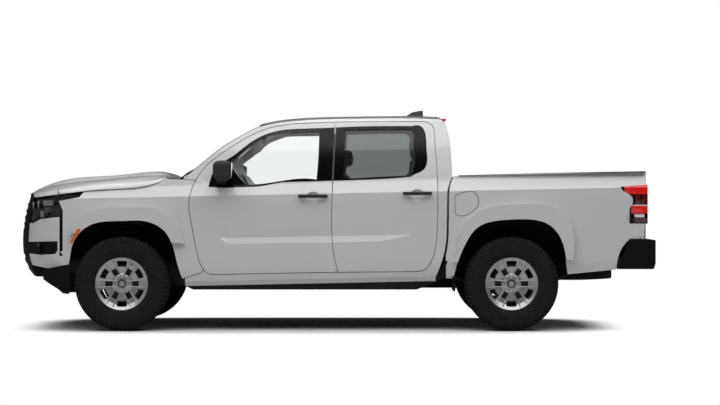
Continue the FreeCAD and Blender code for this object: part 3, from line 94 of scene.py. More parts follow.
# Materials
def add_node(tree, kind, inputs=None, **settings):
    # Add a node, set its properties, and fill its inputs with values or with other nodes' outputs.
    node = tree.nodes.new(kind)
    for name, value in settings.items():
        setattr(node, name, value)
    for name, value in (inputs or {}).items():
        if isinstance(value, bpy.types.NodeSocket):
            tree.links.new(value, node.inputs[name])
        else:
            node.inputs[name].default_value = value
    return node


def new_material(name, colour, **shader_inputs):
    # A material with one shader, and the Object coordinates that its patterns read.
    material = bpy.data.materials.new(name)
    material.use_nodes = True
    tree = material.node_tree
    tree.nodes.clear()
    shader = add_node(tree, "ShaderNodeBsdfPrincipled", {"Base Color": linear(colour)})
    for key, value in shader_inputs.items():
        shader.inputs[key.replace("_", " ")].default_value = value
    output = add_node(tree, "ShaderNodeOutputMaterial")
    tree.links.new(shader.outputs["BSDF"], output.inputs["Surface"])
    coords = add_node(tree, "ShaderNodeTexCoord").outputs["Object"]
    return material, tree, shader, coords


def speckle(tree, coords, size_mm, detail=2.0):
    # Noise whose grains are about that many millimetres across.
    return add_node(tree, "ShaderNodeTexNoise", {"Vector": coords, "Scale": 1000 / size_mm,
                                                 "Detail": detail}).outputs["Fac"]


def vary_colour(tree, shader, factor, dark, light, low=0.35, high=0.65):
    # Let a pattern move the colour between two sRGB values.
    ramp = add_node(tree, "ShaderNodeValToRGB", {"Fac": factor})
    ramp.color_ramp.elements[0].position = low
    ramp.color_ramp.elements[0].color = linear(dark)
    ramp.color_ramp.elements[1].position = high
    ramp.color_ramp.elements[1].color = linear(light)
    tree.links.new(ramp.outputs["Color"], shader.inputs["Base Color"])


def vary_roughness(tree, shader, factor, low, high):
    spread = add_node(tree, "ShaderNodeMapRange", {"Value": factor, "To Min": low, "To Max": high})
    tree.links.new(spread.outputs["Result"], shader.inputs["Roughness"])


def add_bump(tree, shader, height, depth_mm, strength=1.0):
    bump = add_node(tree, "ShaderNodeBump", {"Height": height, "Distance": depth_mm / 1000,
                                             "Strength": strength})
    tree.links.new(bump.outputs["Normal"], shader.inputs["Normal"])


def make_body_paint():
    # White car paint under clear lacquer: even colour, sharp gloss and a faint orange peel 6 mm across.
    material, tree, shader, coords = new_material(
        "White lacquered car paint", "#FFFFFF", Roughness=0.38, Coat_Weight=1.0, Coat_Roughness=0.04,
        Coat_IOR=1.5)
    tint = add_node(tree, "ShaderNodeMapRange", {"Value": speckle(tree, coords, 420, 4), "To Min": 0.975,
                                                 "To Max": 1.0})
    colours = {0: tuple(truck().paint_colour), 1: tint.outputs["Result"]}
    paint = add_node(tree, "ShaderNodeVectorMath", colours, operation="MULTIPLY")
    tree.links.new(paint.outputs["Vector"], shader.inputs["Base Color"])
    add_bump(tree, shader, speckle(tree, coords, 6, 1), 0.012, 0.5)
    return material


def make_black_plastic():
    # Moulded polypropylene with a fine grain: matt and nearly black.
    material, tree, shader, coords = new_material(
        "Grained black polypropylene", "#101011", Roughness=0.62, Specular_IOR_Level=0.12)
    grain = speckle(tree, coords, 2.2, 3)
    vary_colour(tree, shader, speckle(tree, coords, 90, 3), "#0F0F10", "#151517")
    vary_roughness(tree, shader, grain, 0.5, 0.72)
    add_bump(tree, shader, grain, 0.15, 0.6)
    return material


def make_grille_mesh_painted_shade():
    # Moulded black honeycomb, its cells 18 mm across, each cell painted darker at its middle than at its rim:
    # painted shade for the holes of a mesh, on a solid sheet.
    material, tree, shader, coords = new_material("Black honeycomb", "#0C0C0D", Roughness=0.6,
                                                  Specular_IOR_Level=0.2)
    cells = add_node(tree, "ShaderNodeTexVoronoi", {"Vector": coords, "Scale": 1000 / 18}).outputs["Distance"]
    vary_colour(tree, shader, cells, "#060606", "#161617", 0.2, 0.55)
    add_bump(tree, shader, cells, 4, 0.8)
    return material


def make_gloss_black():
    # Gloss black ABS, as on pillar panels: a smooth dark mirror with a few fine swirls.
    material, tree, shader, coords = new_material(
        "Gloss black ABS", "#0A0A0B", Roughness=0.14, Specular_IOR_Level=0.22)
    vary_roughness(tree, shader, speckle(tree, coords, 60, 4), 0.1, 0.2)
    return material


def make_charcoal_plastic():
    # Soft-touch interior plastic: charcoal, matt, leather-like grain.
    material, tree, shader, coords = new_material("Charcoal interior plastic", "#2A2B2D", Roughness=0.68)
    cells = add_node(tree, "ShaderNodeTexVoronoi", {"Vector": coords, "Scale": 1000 / 4}).outputs["Distance"]
    vary_colour(tree, shader, cells, "#2F3032", "#242527", 0.1, 0.7)
    add_bump(tree, shader, cells, 0.25, 0.5)
    return material


def make_window_glass():
    # Tempered window glass: nearly clear, with smooth reflections.
    material, tree, shader, coords = new_material(
        "Clear window glass", "#F8FAF9", Roughness=0.0, Transmission_Weight=1.0, IOR=1.3)
    vary_roughness(tree, shader, speckle(tree, coords, 250, 3), 0.0, 0.01)
    return material


def make_privacy_glass():
    # Body-tinted glass of the rear windows: grey-green, so that what lies behind looks dimmer.
    material, tree, shader, coords = new_material(
        "Privacy glass", "#A8ADAB", Roughness=0.02, Transmission_Weight=1.0, IOR=1.4)
    vary_colour(tree, shader, speckle(tree, coords, 400, 3), "#A5AAA8", "#ABB0AE")
    return material


def make_lens():
    # Clear polycarbonate lamp cover: hard, glossy and see-through.
    material, tree, shader, coords = new_material(
        "Clear polycarbonate", "#F2F5F6", Roughness=0.02, Transmission_Weight=1.0, IOR=1.3)
    vary_roughness(tree, shader, speckle(tree, coords, 120, 2), 0.0, 0.04)
    return material


def make_coloured_lens(name, hex_value, glow):
    # Dyed lamp plastic: deep colour, a fluted inner face and a hard gloss.
    material, tree, shader, coords = new_material(
        name, hex_value, Roughness=0.08, Coat_Weight=0.8, Coat_Roughness=0.03, Transmission_Weight=0.15)
    shader.inputs["Emission Color"].default_value = linear(hex_value)
    shader.inputs["Emission Strength"].default_value = glow
    flutes = add_node(tree, "ShaderNodeTexWave", {"Vector": coords, "Scale": 1000 / 20},
                      bands_direction="Z").outputs["Fac"]
    add_bump(tree, shader, flutes, 0.4, 0.4)
    return material


def make_tyre_rubber():
    # Vulcanised rubber: charcoal black, matt, with a little road dust low in the grain.
    material, tree, shader, coords = new_material("Tyre rubber", "#151516", Roughness=0.82,
                                                  Specular_IOR_Level=0.3)
    vary_colour(tree, shader, speckle(tree, coords, 55, 5), "#111112", "#1B1B1A")
    add_bump(tree, shader, speckle(tree, coords, 1.6, 2), 0.12, 0.5)
    return material


def make_wheel_paint():
    # Cast aluminium wheel with silver paint under lacquer: fine metal flakes, a soft sheen.
    material, tree, shader, coords = new_material(
        "Silver wheel paint", "#B4B6B9", Roughness=0.36, Metallic=0.75, Coat_Weight=0.5, Coat_Roughness=0.08)
    flakes = speckle(tree, coords, 1.4, 1)
    vary_colour(tree, shader, flakes, "#ABADB0", "#C3C5C8")
    vary_roughness(tree, shader, speckle(tree, coords, 70, 3), 0.3, 0.42)
    return material


def make_chassis_paint():
    # Black dip-painted steel: satin, with patches of dust. satin, dusty on top faces.
    material, tree, shader, coords = new_material("Black chassis paint", "#1B1C1D", Roughness=0.55)
    vary_colour(tree, shader, speckle(tree, coords, 130, 5), "#161718", "#27261F")
    vary_roughness(tree, shader, speckle(tree, coords, 30, 3), 0.45, 0.7)
    return material


def make_cast_iron():
    # Sand-cast iron: grey-brown, rough, pitted.
    material, tree, shader, coords = new_material("Sand-cast iron", "#55524E", Roughness=0.75, Metallic=0.6)
    vary_colour(tree, shader, speckle(tree, coords, 45, 6), "#4A443E", "#5E5B57")
    add_bump(tree, shader, speckle(tree, coords, 3, 3), 0.5, 0.7)
    return material


def make_aluminium():
    # Extruded aluminium fins: pale grey, brushed along their length.
    material, tree, shader, coords = new_material("Aluminium fins", "#9FA2A5", Roughness=0.4, Metallic=1.0)
    fins = add_node(tree, "ShaderNodeTexWave", {"Vector": coords, "Scale": 1000 / 40},
                    bands_direction="Z").outputs["Fac"]
    add_bump(tree, shader, fins, 1.5, 0.8)
    return material


def make_exhaust_steel():
    # Stainless exhaust steel, dulled and slightly straw-coloured by heat.
    material, tree, shader, coords = new_material("Heat-dulled stainless steel", "#85817A", Roughness=0.42,
                                                  Metallic=1.0)
    vary_colour(tree, shader, speckle(tree, coords, 180, 4), "#7A7469", "#8F8D88")
    vary_roughness(tree, shader, speckle(tree, coords, 40, 3), 0.32, 0.55)
    return material


def make_disc_steel_with_painted_shade():
    # Turned steel with fine circular tool marks. Its dark grey is partly the steel's own and partly painted
    # shade, for discs deep inside the wheels.
    material, tree, shader, coords = new_material("Turned steel", "#4A4B4C", Roughness=0.45, Metallic=0.8)
    vary_roughness(tree, shader, speckle(tree, coords, 8, 3), 0.25, 0.5)
    return material


def make_chrome():
    # Zinc-nickel plated nuts: bright, slightly uneven.
    material, tree, shader, coords = new_material("Bright plated steel", "#D8D9DB", Roughness=0.45,
                                                  Metallic=0.8)
    vary_roughness(tree, shader, speckle(tree, coords, 12, 3), 0.38, 0.5)
    return material


def make_seat_cloth():
    # Woven seat cloth: charcoal threads about 1.5 mm apart, drawn at 4 mm so that they show.
    material, tree, shader, coords = new_material("Woven seat cloth", "#37383B", Roughness=0.92,
                                                  Sheen_Weight=0.3)
    across = add_node(tree, "ShaderNodeTexWave", {"Vector": coords, "Scale": 1000 / 12},
                      bands_direction="X").outputs["Fac"]
    along = add_node(tree, "ShaderNodeTexWave", {"Vector": coords, "Scale": 1000 / 12},
                     bands_direction="Z").outputs["Fac"]
    weave = add_node(tree, "ShaderNodeMath", {0: across, 1: along}, operation="MULTIPLY").outputs[0]
    vary_colour(tree, shader, weave, "#2D2E31", "#434549", 0.1, 0.7)
    add_bump(tree, shader, weave, 0.6, 0.6)
    return material


def make_pale_plastic():
    # Light grey pillar and roof lining: fine knit over foam, matt.
    material, tree, shader, coords = new_material("Pale knitted lining", "#C9C9C6", Roughness=0.9)
    knit = speckle(tree, coords, 2.5, 2)
    vary_colour(tree, shader, knit, "#C2C2BF", "#CFCFCC")
    add_bump(tree, shader, knit, 0.2, 0.5)
    return material


def make_carpet():
    # Tufted floor carpet: nearly black loops about 5 mm across.
    material, tree, shader, coords = new_material("Tufted carpet", "#1E1E1F", Roughness=1.0, Sheen_Weight=0.3)
    loops = speckle(tree, coords, 5, 3)
    vary_colour(tree, shader, loops, "#171718", "#2A2A2B")
    add_bump(tree, shader, loops, 1.5, 0.8)
    return material


def make_mirror_silver():
    # Silvered mirror glass: a plain sharp mirror.
    material, tree, shader, coords = new_material("Silvered mirror glass", "#E4E8EA", Roughness=0.02,
                                                  Metallic=1.0)
    vary_roughness(tree, shader, speckle(tree, coords, 150, 2), 0.0, 0.03)
    return material


def make_reflector():
    # Vacuum-metallised lamp bowl: bright, a little wavy.
    material, tree, shader, coords = new_material("Metallised reflector", "#A9ACAE", Roughness=0.3,
                                                  Metallic=0.7)
    add_bump(tree, shader, speckle(tree, coords, 25, 1), 0.3, 0.4)
    return material


def make_white_lens():
    # White moulded lamp plastic, fluted: the reversing lamp, and the blank plate at the tail.
    material, tree, shader, coords = new_material("White lamp plastic", "#E6E6E6", Roughness=0.15,
                                                  Coat_Weight=0.7)
    flutes = add_node(tree, "ShaderNodeTexWave", {"Vector": coords, "Scale": 1000 / 20},
                      bands_direction="Z").outputs["Fac"]
    add_bump(tree, shader, flutes, 0.4, 0.4)
    return material


MAKERS = {
    "pale_lining": make_pale_plastic,
    "carpet": make_carpet,
    "mirror_silver": make_mirror_silver,
    "reflector": make_reflector,
    "white_lens": make_white_lens,
    "body_paint": make_body_paint,
    "black_plastic": make_black_plastic,
    "gloss_black": make_gloss_black,
    "grille_mesh": make_grille_mesh_painted_shade,
    "charcoal_plastic": make_charcoal_plastic,
    "window_glass": make_window_glass,
    "privacy_glass": make_privacy_glass,
    "lamp_glass": make_lens,
    "red_lens": lambda: make_coloured_lens("Red lamp plastic", "#E01212", 0.25),
    "dark_red_lens": lambda: make_coloured_lens("Smoked red lamp plastic", "#5E0F12", 0.0),
    "amber_lens": lambda: make_coloured_lens("Amber lamp plastic", "#D26408", 0.15),
    "tyre_rubber": make_tyre_rubber,
    "wheel_paint": make_wheel_paint,
    "chassis_paint": make_chassis_paint,
    "cast_metal": make_cast_iron,
    "alloy_metal": make_aluminium,
    "exhaust_steel": make_exhaust_steel,
    "disc_steel": make_disc_steel_with_painted_shade,
    "chrome": make_chrome,
    "seat_fabric": make_seat_cloth,
}
made = {}


def material(name):
    if name not in made:
        made[name] = MAKERS[name]()
    return made[name]


# Modelling
def begin():
    # Leave edit mode and let nothing be selected.
    if bpy.context.mode != "OBJECT":
        bpy.ops.object.mode_set(mode="OBJECT")
    bpy.ops.object.select_all(action="DESELECT")


def select(obj):
    begin()
    obj.select_set(True)
    bpy.context.view_layer.objects.active = obj


def add_modifier(obj, kind, **settings):
    # Add a modifier, set it up and apply it.
    select(obj)
    modifier = obj.modifiers.new(kind.title(), kind)
    for name, value in settings.items():
        setattr(modifier, name, value)
    bpy.ops.object.modifier_apply(modifier=modifier.name)


def round_edges(obj, width, segments=2, angle=35):
    # Round the edges that turn by more than the angle, then shade smoothly below it.
    add_modifier(obj, "BEVEL", width=width, segments=segments, limit_method="ANGLE",
                 angle_limit=math.radians(angle))
    smooth(obj, angle)


def smooth(obj, angle=35):
    select(obj)
    bpy.ops.object.shade_smooth_by_angle(angle=math.radians(angle))


def face_outwards(obj):
    select(obj)
    bpy.ops.object.mode_set(mode="EDIT")
    bpy.ops.mesh.select_all(action="SELECT")
    bpy.ops.mesh.remove_doubles(threshold=0.00005)
    bpy.ops.mesh.normals_make_consistent(inside=False)
    bpy.ops.object.mode_set(mode="OBJECT")


def finish_piece(obj, finish, body=ROOT):
    # Apply the piece's place to its mesh, give it its finish, and let it ride on its body.
    select(obj)
    bpy.ops.object.transform_apply(location=True, rotation=True, scale=True)
    obj.data.materials.clear()
    obj.data.materials.append(material(finish))
    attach(obj, body)
    return obj


def named(name):
    obj = bpy.context.active_object
    obj.name = name
    obj.data.name = name
    return obj


def add_block(name, low, high, rounding=0.0, segments=3):
    # A cube added between two corners, its edges rounded.
    begin()
    middle = [(a + b) / 2 for a, b in zip(low, high)]
    bpy.ops.mesh.primitive_cube_add(size=1, location=middle, scale=[b - a for a, b in zip(low, high)])
    obj = named(name)
    bpy.ops.object.transform_apply(location=True, rotation=True, scale=True)
    if rounding:
        round_edges(obj, rounding, segments)
    return obj


def add_outline(name, points, travel):
    # A closed outline of points in space, filled and extruded by a vector.
    begin()
    mesh = bpy.data.meshes.new(name)
    mesh.from_pydata([tuple(p) for p in points], [(i, (i + 1) % len(points)) for i in range(len(points))], [])
    obj = bpy.data.objects.new(name, mesh)
    bpy.context.scene.collection.objects.link(obj)
    select(obj)
    bpy.ops.object.mode_set(mode="EDIT")
    bpy.ops.mesh.select_all(action="SELECT")
    bpy.ops.mesh.edge_face_add()
    bpy.ops.mesh.extrude_region_move(TRANSFORM_OT_translate={"value": tuple(travel)})
    bpy.ops.mesh.select_all(action="SELECT")
    bpy.ops.mesh.normals_make_consistent(inside=False)
    bpy.ops.object.mode_set(mode="OBJECT")
    return obj


def add_turned(name, profile, centre, steps=96, axis=(0, 1, 0)):
    # A closed section of (along the axis, radius) pairs, spun about a line along Y through the centre.
    begin()
    mesh = bpy.data.meshes.new(name)
    points = [(centre[0], centre[1] + y, centre[2] + r) for y, r in profile]
    mesh.from_pydata(points, [(i, (i + 1) % len(points)) for i in range(len(points))], [])
    obj = bpy.data.objects.new(name, mesh)
    bpy.context.scene.collection.objects.link(obj)
    select(obj)
    bpy.ops.object.mode_set(mode="EDIT")
    bpy.ops.mesh.select_all(action="SELECT")
    bpy.ops.mesh.spin(steps=steps, angle=2 * math.pi, center=centre, axis=axis)
    bpy.ops.mesh.select_all(action="SELECT")
    bpy.ops.mesh.remove_doubles(threshold=0.00005)
    bpy.ops.mesh.normals_make_consistent(inside=False)
    bpy.ops.object.mode_set(mode="OBJECT")
    smooth(obj)
    return obj


def add_rod(name, points, radius, sides=12):
    # A round bar along a path of points.
    begin()
    curve = bpy.data.curves.new(name, "CURVE")
    curve.dimensions = "3D"
    curve.bevel_depth = radius
    curve.bevel_resolution = sides // 4
    curve.use_fill_caps = True
    line = curve.splines.new("POLY")
    line.points.add(len(points) - 1)
    for point, place in zip(line.points, points):
        point.co = (*place, 1)
    obj = bpy.data.objects.new(name, curve)
    bpy.context.scene.collection.objects.link(obj)
    select(obj)
    bpy.ops.object.convert(target="MESH")
    obj = named(name)
    face_outwards(obj)
    smooth(obj, 50)
    return obj


def join_pieces(name, pieces):
    begin()
    for piece in pieces:
        piece.select_set(True)
    bpy.context.view_layer.objects.active = pieces[0]
    bpy.ops.object.join()
    return named(name)


def copy_of(obj, name, matrix):
    # A copy with its own mesh, moved or mirrored by a matrix.
    copy = obj.copy()
    copy.data = obj.data.copy()
    copy.name = name
    copy.data.name = name
    bpy.context.scene.collection.objects.link(copy)
    copy.parent = None
    copy.data.transform(matrix)
    if matrix.determinant() < 0:
        copy.data.flip_normals()
    return copy


MIRROR = Matrix.Scale(-1, 4, (0, 1, 0))


def refine_node(node, finish, rounding=0.0, edge_angle=16, cutter=None, cuts=()):
    # A merged copy of a CAD node stands for it, its edges rounded and its shading led by its large faces.
    source = frame["nodes"][node]
    body = source["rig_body"]
    obj = copy_of(source, node + "_panel", Matrix.Identity(4))
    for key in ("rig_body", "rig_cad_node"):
        if key in obj:
            del obj[key]
    select(obj)
    bpy.ops.object.mode_set(mode="EDIT")
    bpy.ops.mesh.select_all(action="SELECT")
    bpy.ops.mesh.remove_doubles(threshold=0.00002)
    bpy.ops.mesh.dissolve_limited(angle_limit=math.radians(0.6))
    bpy.ops.object.mode_set(mode="OBJECT")
    if cutter:
        add_modifier(obj, "BOOLEAN", object=cutter, operation="DIFFERENCE", solver="EXACT")
    for place, normal in cuts:
        cut_across(obj, place, normal)
    if rounding:
        add_modifier(obj, "BEVEL", width=rounding, segments=2, limit_method="ANGLE",
                     angle_limit=math.radians(edge_angle), use_clamp_overlap=True)
    smooth(obj, 52)
    add_modifier(obj, "WEIGHTED_NORMAL", keep_sharp=True, weight=80)
    finish_piece(obj, finish, body)
    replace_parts(obj, node)
    return obj


def truck():
    return bpy.context.scene.pickup


class PickupSettings(bpy.types.PropertyGroup):
    panel_edge: FloatProperty(
        name="Panel edge", description="How far the edges of the body panels are rounded", default=0.0025,
        min=0, unit="LENGTH")
    lamp_power: FloatProperty(
        name="Studio light", description="Strength of the soft lights", default=1040.0, min=0, unit="POWER")
    paint_colour: FloatVectorProperty(
        name="Paint", description="Colour of the body paint", default=linear("#DFE0E2")[:3],
        subtype="COLOR", size=3, min=0, max=1)


DOME_STRENGTH = 0.08
# Soft lights: name, place, width, depth, share of the set power. The one overhead does nearly all the work.
STUDIO_LIGHTS = (
    ("top_light", (0.0, -3.4, 7.5), 16.0, 9.2, 0.96),
    ("nose_fill", (-9.0, -3.0, 3.5), 4.0, 3.0, 0.02),
    ("tail_fill", (9.0, 2.0, 3.5), 4.0, 3.0, 0.04),
)
# Painted light: for the camera, the floor turns to the backdrop's white beyond a rounded rectangle close round
# the truck, and so cuts the truck's cast shadow short. Listed: the rectangle's scale along X and Y, its shift,
# and the distances at which the fade starts and ends.
PAINTED_LIGHT_OVAL = (0.434, 1.05, 0.0)
PAINTED_LIGHT_SHIFT = (0.054, 0.18, 0.0)
PAINTED_LIGHT_FADE = (0.9, 1.3)


def make_studio_floor_with_painted_light():
    # White painted studio floor. For the camera it turns to the backdrop's white close round the truck,
    # painted light over the ends of the truck's shadow. Rays that light the truck see the floor greyer than
    # the camera does.
    mat, tree, shader, coords = new_material("White studio floor", "#F2F2F1", Roughness=0.85)
    vary_colour(tree, shader, speckle(tree, coords, 900, 2), "#F0F0EF", "#F4F4F3")
    oval = add_node(tree, "ShaderNodeVectorMath", {0: coords, 1: PAINTED_LIGHT_OVAL, 2: PAINTED_LIGHT_SHIFT},
                    operation="MULTIPLY_ADD").outputs["Vector"]
    squared = add_node(tree, "ShaderNodeVectorMath", {0: oval, 1: oval}, operation="MULTIPLY").outputs[0]
    away = add_node(tree, "ShaderNodeVectorMath", {0: squared}, operation="LENGTH").outputs["Value"]
    fade = add_node(tree, "ShaderNodeMapRange", {"Value": away, "From Min": PAINTED_LIGHT_FADE[0],
                                                 "From Max": PAINTED_LIGHT_FADE[1]})
    fade.interpolation_type = "SMOOTHSTEP"
    path = add_node(tree, "ShaderNodeLightPath")
    bounce = add_node(tree, "ShaderNodeMix", {"Factor": path.outputs["Is Camera Ray"],
                                              "A": linear("#BEBEBD")}, data_type="RGBA")
    tree.links.new(shader.inputs["Base Color"].links[0].from_socket, bounce.inputs["B"])
    tree.links.new(bounce.outputs["Result"], shader.inputs["Base Color"])
    # Painted light: a white glow for camera rays only, over the floor outside the rounded rectangle.
    share = add_node(tree, "ShaderNodeMath", {0: fade.outputs["Result"], 1: path.outputs["Is Camera Ray"]},
                     operation="MULTIPLY")
    white = add_node(tree, "ShaderNodeEmission", {"Color": linear("#FFFFFF"), "Strength": 1.0})
    mix = add_node(tree, "ShaderNodeMixShader", {"Fac": share.outputs[0]})
    tree.links.new(shader.outputs["BSDF"], mix.inputs[1])
    tree.links.new(white.outputs[0], mix.inputs[2])
    output = [node for node in tree.nodes if node.type == "OUTPUT_MATERIAL"][0]
    tree.links.new(mix.outputs[0], output.inputs["Surface"])
    return mat


class PICKUP_OT_stage(bpy.types.Operator):
    """Lay the floor, hang the soft lights and set the photograph's camera"""
    bl_idname = "pickup.stage"
    bl_label = "Stage"

    def execute(self, context):
        begin()
        bpy.ops.mesh.primitive_plane_add(size=60, location=(0, 0, 0))
        floor = named("studio_floor")
        floor.data.materials.append(make_studio_floor_with_painted_light())
        world = bpy.data.worlds.new("Studio")
        context.scene.world = world
        world.use_nodes = True
        tree = world.node_tree
        tree.nodes.clear()
        path = add_node(tree, "ShaderNodeLightPath")
        rays = {0: path.outputs["Is Camera Ray"], 1: path.outputs["Is Transmission Ray"]}
        seen = add_node(tree, "ShaderNodeMath", rays, operation="MAXIMUM")
        dome = add_node(tree, "ShaderNodeBackground", {"Color": linear("#DDE2E8"), "Strength": DOME_STRENGTH})
        backdrop = add_node(tree, "ShaderNodeBackground", {"Color": linear("#FFFFFF"), "Strength": 1.0})
        mix = add_node(tree, "ShaderNodeMixShader", {"Fac": seen.outputs[0]})
        tree.links.new(dome.outputs[0], mix.inputs[1])
        tree.links.new(backdrop.outputs[0], mix.inputs[2])
        out = add_node(tree, "ShaderNodeOutputWorld")
        tree.links.new(mix.outputs[0], out.inputs["Surface"])
        for name, place, width, depth, share in STUDIO_LIGHTS:
            begin()
            bpy.ops.object.light_add(type="AREA", location=place)
            light = bpy.context.active_object
            light.name = name
            light.data.shape = "RECTANGLE"
            light.data.size = width
            light.data.size_y = depth
            light.data.energy = truck().lamp_power * share
            if name != "top_light":
                aim = Vector((place[0] * 0.6, 0, 0.6)) - Vector(place)
                light.rotation_euler = aim.to_track_quat("-Z", "Y").to_euler()
        begin()
        bpy.ops.object.camera_add(location=CAMERA_PLACE, rotation=(math.pi / 2, 0, 0))
        camera = bpy.context.active_object
        camera.name = "photo_camera"
        camera.data.lens = CAMERA_LENS
        camera.data.sensor_width = 36
        camera.data.shift_x, camera.data.shift_y = CAMERA_SHIFT
        camera.data.clip_end = 200
        context.scene.camera = camera
        context.scene.view_settings.view_transform = "Standard"
        return {"FINISHED"}


def turn_about_axle(x, z, angle):
    centre = Matrix.Translation((x, 0, z))
    return centre @ Matrix.Rotation(angle, 4, "Y") @ centre.inverted()


def repeat_around(obj, x, z, count):
    # Copies of a piece at even steps about the axle, by an array that follows a turned empty.
    begin()
    bpy.ops.object.empty_add(location=(0, 0, 0))
    turner = bpy.context.active_object
    turner.matrix_world = turn_about_axle(x, z, 2 * math.pi / count)
    bpy.context.view_layer.update()
    add_modifier(obj, "ARRAY", count=count, use_relative_offset=False, use_object_offset=True,
                 offset_object=turner)
    bpy.data.objects.remove(turner)


TREAD_DEPTH = 0.009
TREAD_STEPS = 62
# Rows of tread blocks: distance from the tyre's middle, width, length, turn in degrees, share of a step ahead.
TREAD_ROWS = ((-0.075, 0.034, 0.030, 9, 0.0), (-0.026, 0.040, 0.029, -12, 0.5),
              (0.026, 0.040, 0.029, -12, 0.1), (0.075, 0.034, 0.030, 9, 0.6))


def add_tread_block(name, x, y, top, width, length, skew):
    # One block of the tread: a cube with its top drawn in, turned about its middle.
    block = add_block(name, (x - length / 2, y - width / 2, top - TREAD_DEPTH - 0.006),
                      (x + length / 2, y + width / 2, top))
    bpy.ops.object.mode_set(mode="EDIT")
    bpy.ops.mesh.select_all(action="DESELECT")
    bpy.ops.object.mode_set(mode="OBJECT")
    for face in block.data.polygons:
        face.select = face.normal.z > 0.9
    bpy.ops.object.mode_set(mode="EDIT")
    bpy.ops.transform.resize(value=(0.86, 0.9, 1))
    bpy.ops.object.mode_set(mode="OBJECT")
    block.data.transform(Matrix.Translation((x, y, 0)) @ Matrix.Rotation(math.radians(skew), 4, "Z")
                         @ Matrix.Translation((-x, -y, 0)))
    return block


class PICKUP_OT_tyres(bpy.types.Operator):
    """Spin the tyres' carcass and set its tread blocks and sidewall rings round it"""
    bl_idname = "pickup.tyres"
    bl_label = "Tyres"

    def execute(self, context):
        low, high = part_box("tyre_front_left")
        x, y, z = [(a + b) / 2 for a, b in zip(low, high)]
        radius = (high[2] - low[2]) / 2
        half = (high[1] - low[1]) / 2
        base = radius - TREAD_DEPTH
        rim_low, rim_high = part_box("wheel_front_left")
        rim = (rim_high[2] - rim_low[2]) / 2
        seat = rim - 0.0125
        outer = [
            (0, base + 0.0005), (half - 0.052, base - 0.003), (half - 0.030, base - 0.010),
            (half - 0.014, base - 0.024), (half - 0.0052, base - 0.036),
            (half - 0.0038, base - 0.038), (half - 0.0042, base - 0.041),
            (half - 0.0004, base - 0.060), (half, base - 0.088), (half - 0.002, base - 0.108),
            (half - 0.0055, rim + 0.048), (half - 0.0042, rim + 0.044), (half - 0.0075, rim + 0.036),
            (half - 0.016, rim + 0.018), (half - 0.023, rim + 0.0055), (half - 0.026, rim + 0.001),
            (half - 0.0345, rim + 0.0005), (half - 0.042, seat + 0.0006),
        ]
        profile = outer + [(-a, b) for a, b in reversed(outer[1:])]
        carcass = add_turned("tyre_carcass", profile, (x, y, z), 128)
        blocks = []
        for offset, width, length, skew, ahead in TREAD_ROWS:
            crown = radius - 0.0004 - (offset * 2.4) ** 2 * 0.09
            block = add_tread_block("tread_row", x, y + offset, z + crown, width, length, skew)
            block.data.transform(turn_about_axle(x, z, ahead * 2 * math.pi / TREAD_STEPS))
            repeat_around(block, x, z, TREAD_STEPS)
            blocks.append(block)
        for side in (-1, 1):
            lug = add_outline("shoulder_lug", [
                (x - 0.0145, y + side * (half - 0.040), z + radius - 0.0030),
                (x - 0.0145, y + side * (half - 0.024), z + radius - 0.0085),
                (x - 0.0145, y + side * (half - 0.0062), z + radius - 0.0270),
                (x - 0.0145, y + side * (half - 0.0020), z + radius - 0.0440),
                (x - 0.0145, y + side * (half - 0.0100), z + radius - 0.0460),
                (x - 0.0145, y + side * (half - 0.0400), z + radius - 0.0190)], (0.029, 0, 0))
            add_modifier(lug, "BEVEL", width=0.0016, segments=1, limit_method="ANGLE")
            ahead = 0.25 if side > 0 else 0.75
            lug.data.transform(turn_about_axle(x, z, ahead * 2 * math.pi / TREAD_STEPS))
            repeat_around(lug, x, z, TREAD_STEPS)
            blocks.append(lug)
        tyre = join_pieces("tyre_left", [carcass] + blocks)
        smooth(tyre, 28)
        for end, side, sign in WHEELS:
            node = "tyre_%s_%s" % (end, side)
            low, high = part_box(node)
            move = Matrix.Translation(((low[0] + high[0]) / 2 - x, 0, 0))
            placed = copy_of(tyre, node + "_rubber", move if sign < 0 else move @ MIRROR)
            finish_piece(placed, "tyre_rubber", "wheel_%s_%s" % (end, side))
            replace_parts(placed, node)
        bpy.data.objects.remove(tyre)
        return {"FINISHED"}


def paint_faces(obj, finish, test):
    # Give the faces whose middle passes a test a finish of their own.
    obj.data.materials.append(material(finish))
    index = len(obj.data.materials) - 1
    for face in obj.data.polygons:
        if test(face.center, face.normal):
            face.material_index = index


# A ridge on the spokes: places along the window's axis, sideways from it, and inside the wheel's lip.
RIDGE = ((0.050, 0.004, 0.029), (0.093, 0.025, 0.033), (0.139, 0.049, 0.024), (0.172, 0.066, 0.015),
         (0.188, 0.074, 0.007))
RIDGE_RADIUS = 0.0052
WINDOW_COUNT = 6
CAP_RING = ((0.0175, 0.0255), (0.0160, 0.0290), (0.0175, 0.0325), (0.0240, 0.0340), (0.0270, 0.0255))


def add_wheel_trims(x, face_y, z):
    # Two ridges beside each window of a left wheel, meeting towards the hub, and the dark ring of the cap.
    ridges = []
    for i in range(WINDOW_COUNT):
        angle = math.radians(90 + 360 / WINDOW_COUNT * i)
        out = Vector((math.cos(angle), 0, math.sin(angle)))
        across = Vector((-math.sin(angle), 0, math.cos(angle)))
        for side in (-1, 1):
            points = [Vector((x, face_y + deep, z)) + out * far + across * aside * side
                      for far, aside, deep in RIDGE]
            ridges.append(add_rod("ridge", points, RIDGE_RADIUS, 16))
    return join_pieces("wheel_ridges", ridges), add_turned("cap_ring", CAP_RING, (x, face_y, z), 48)


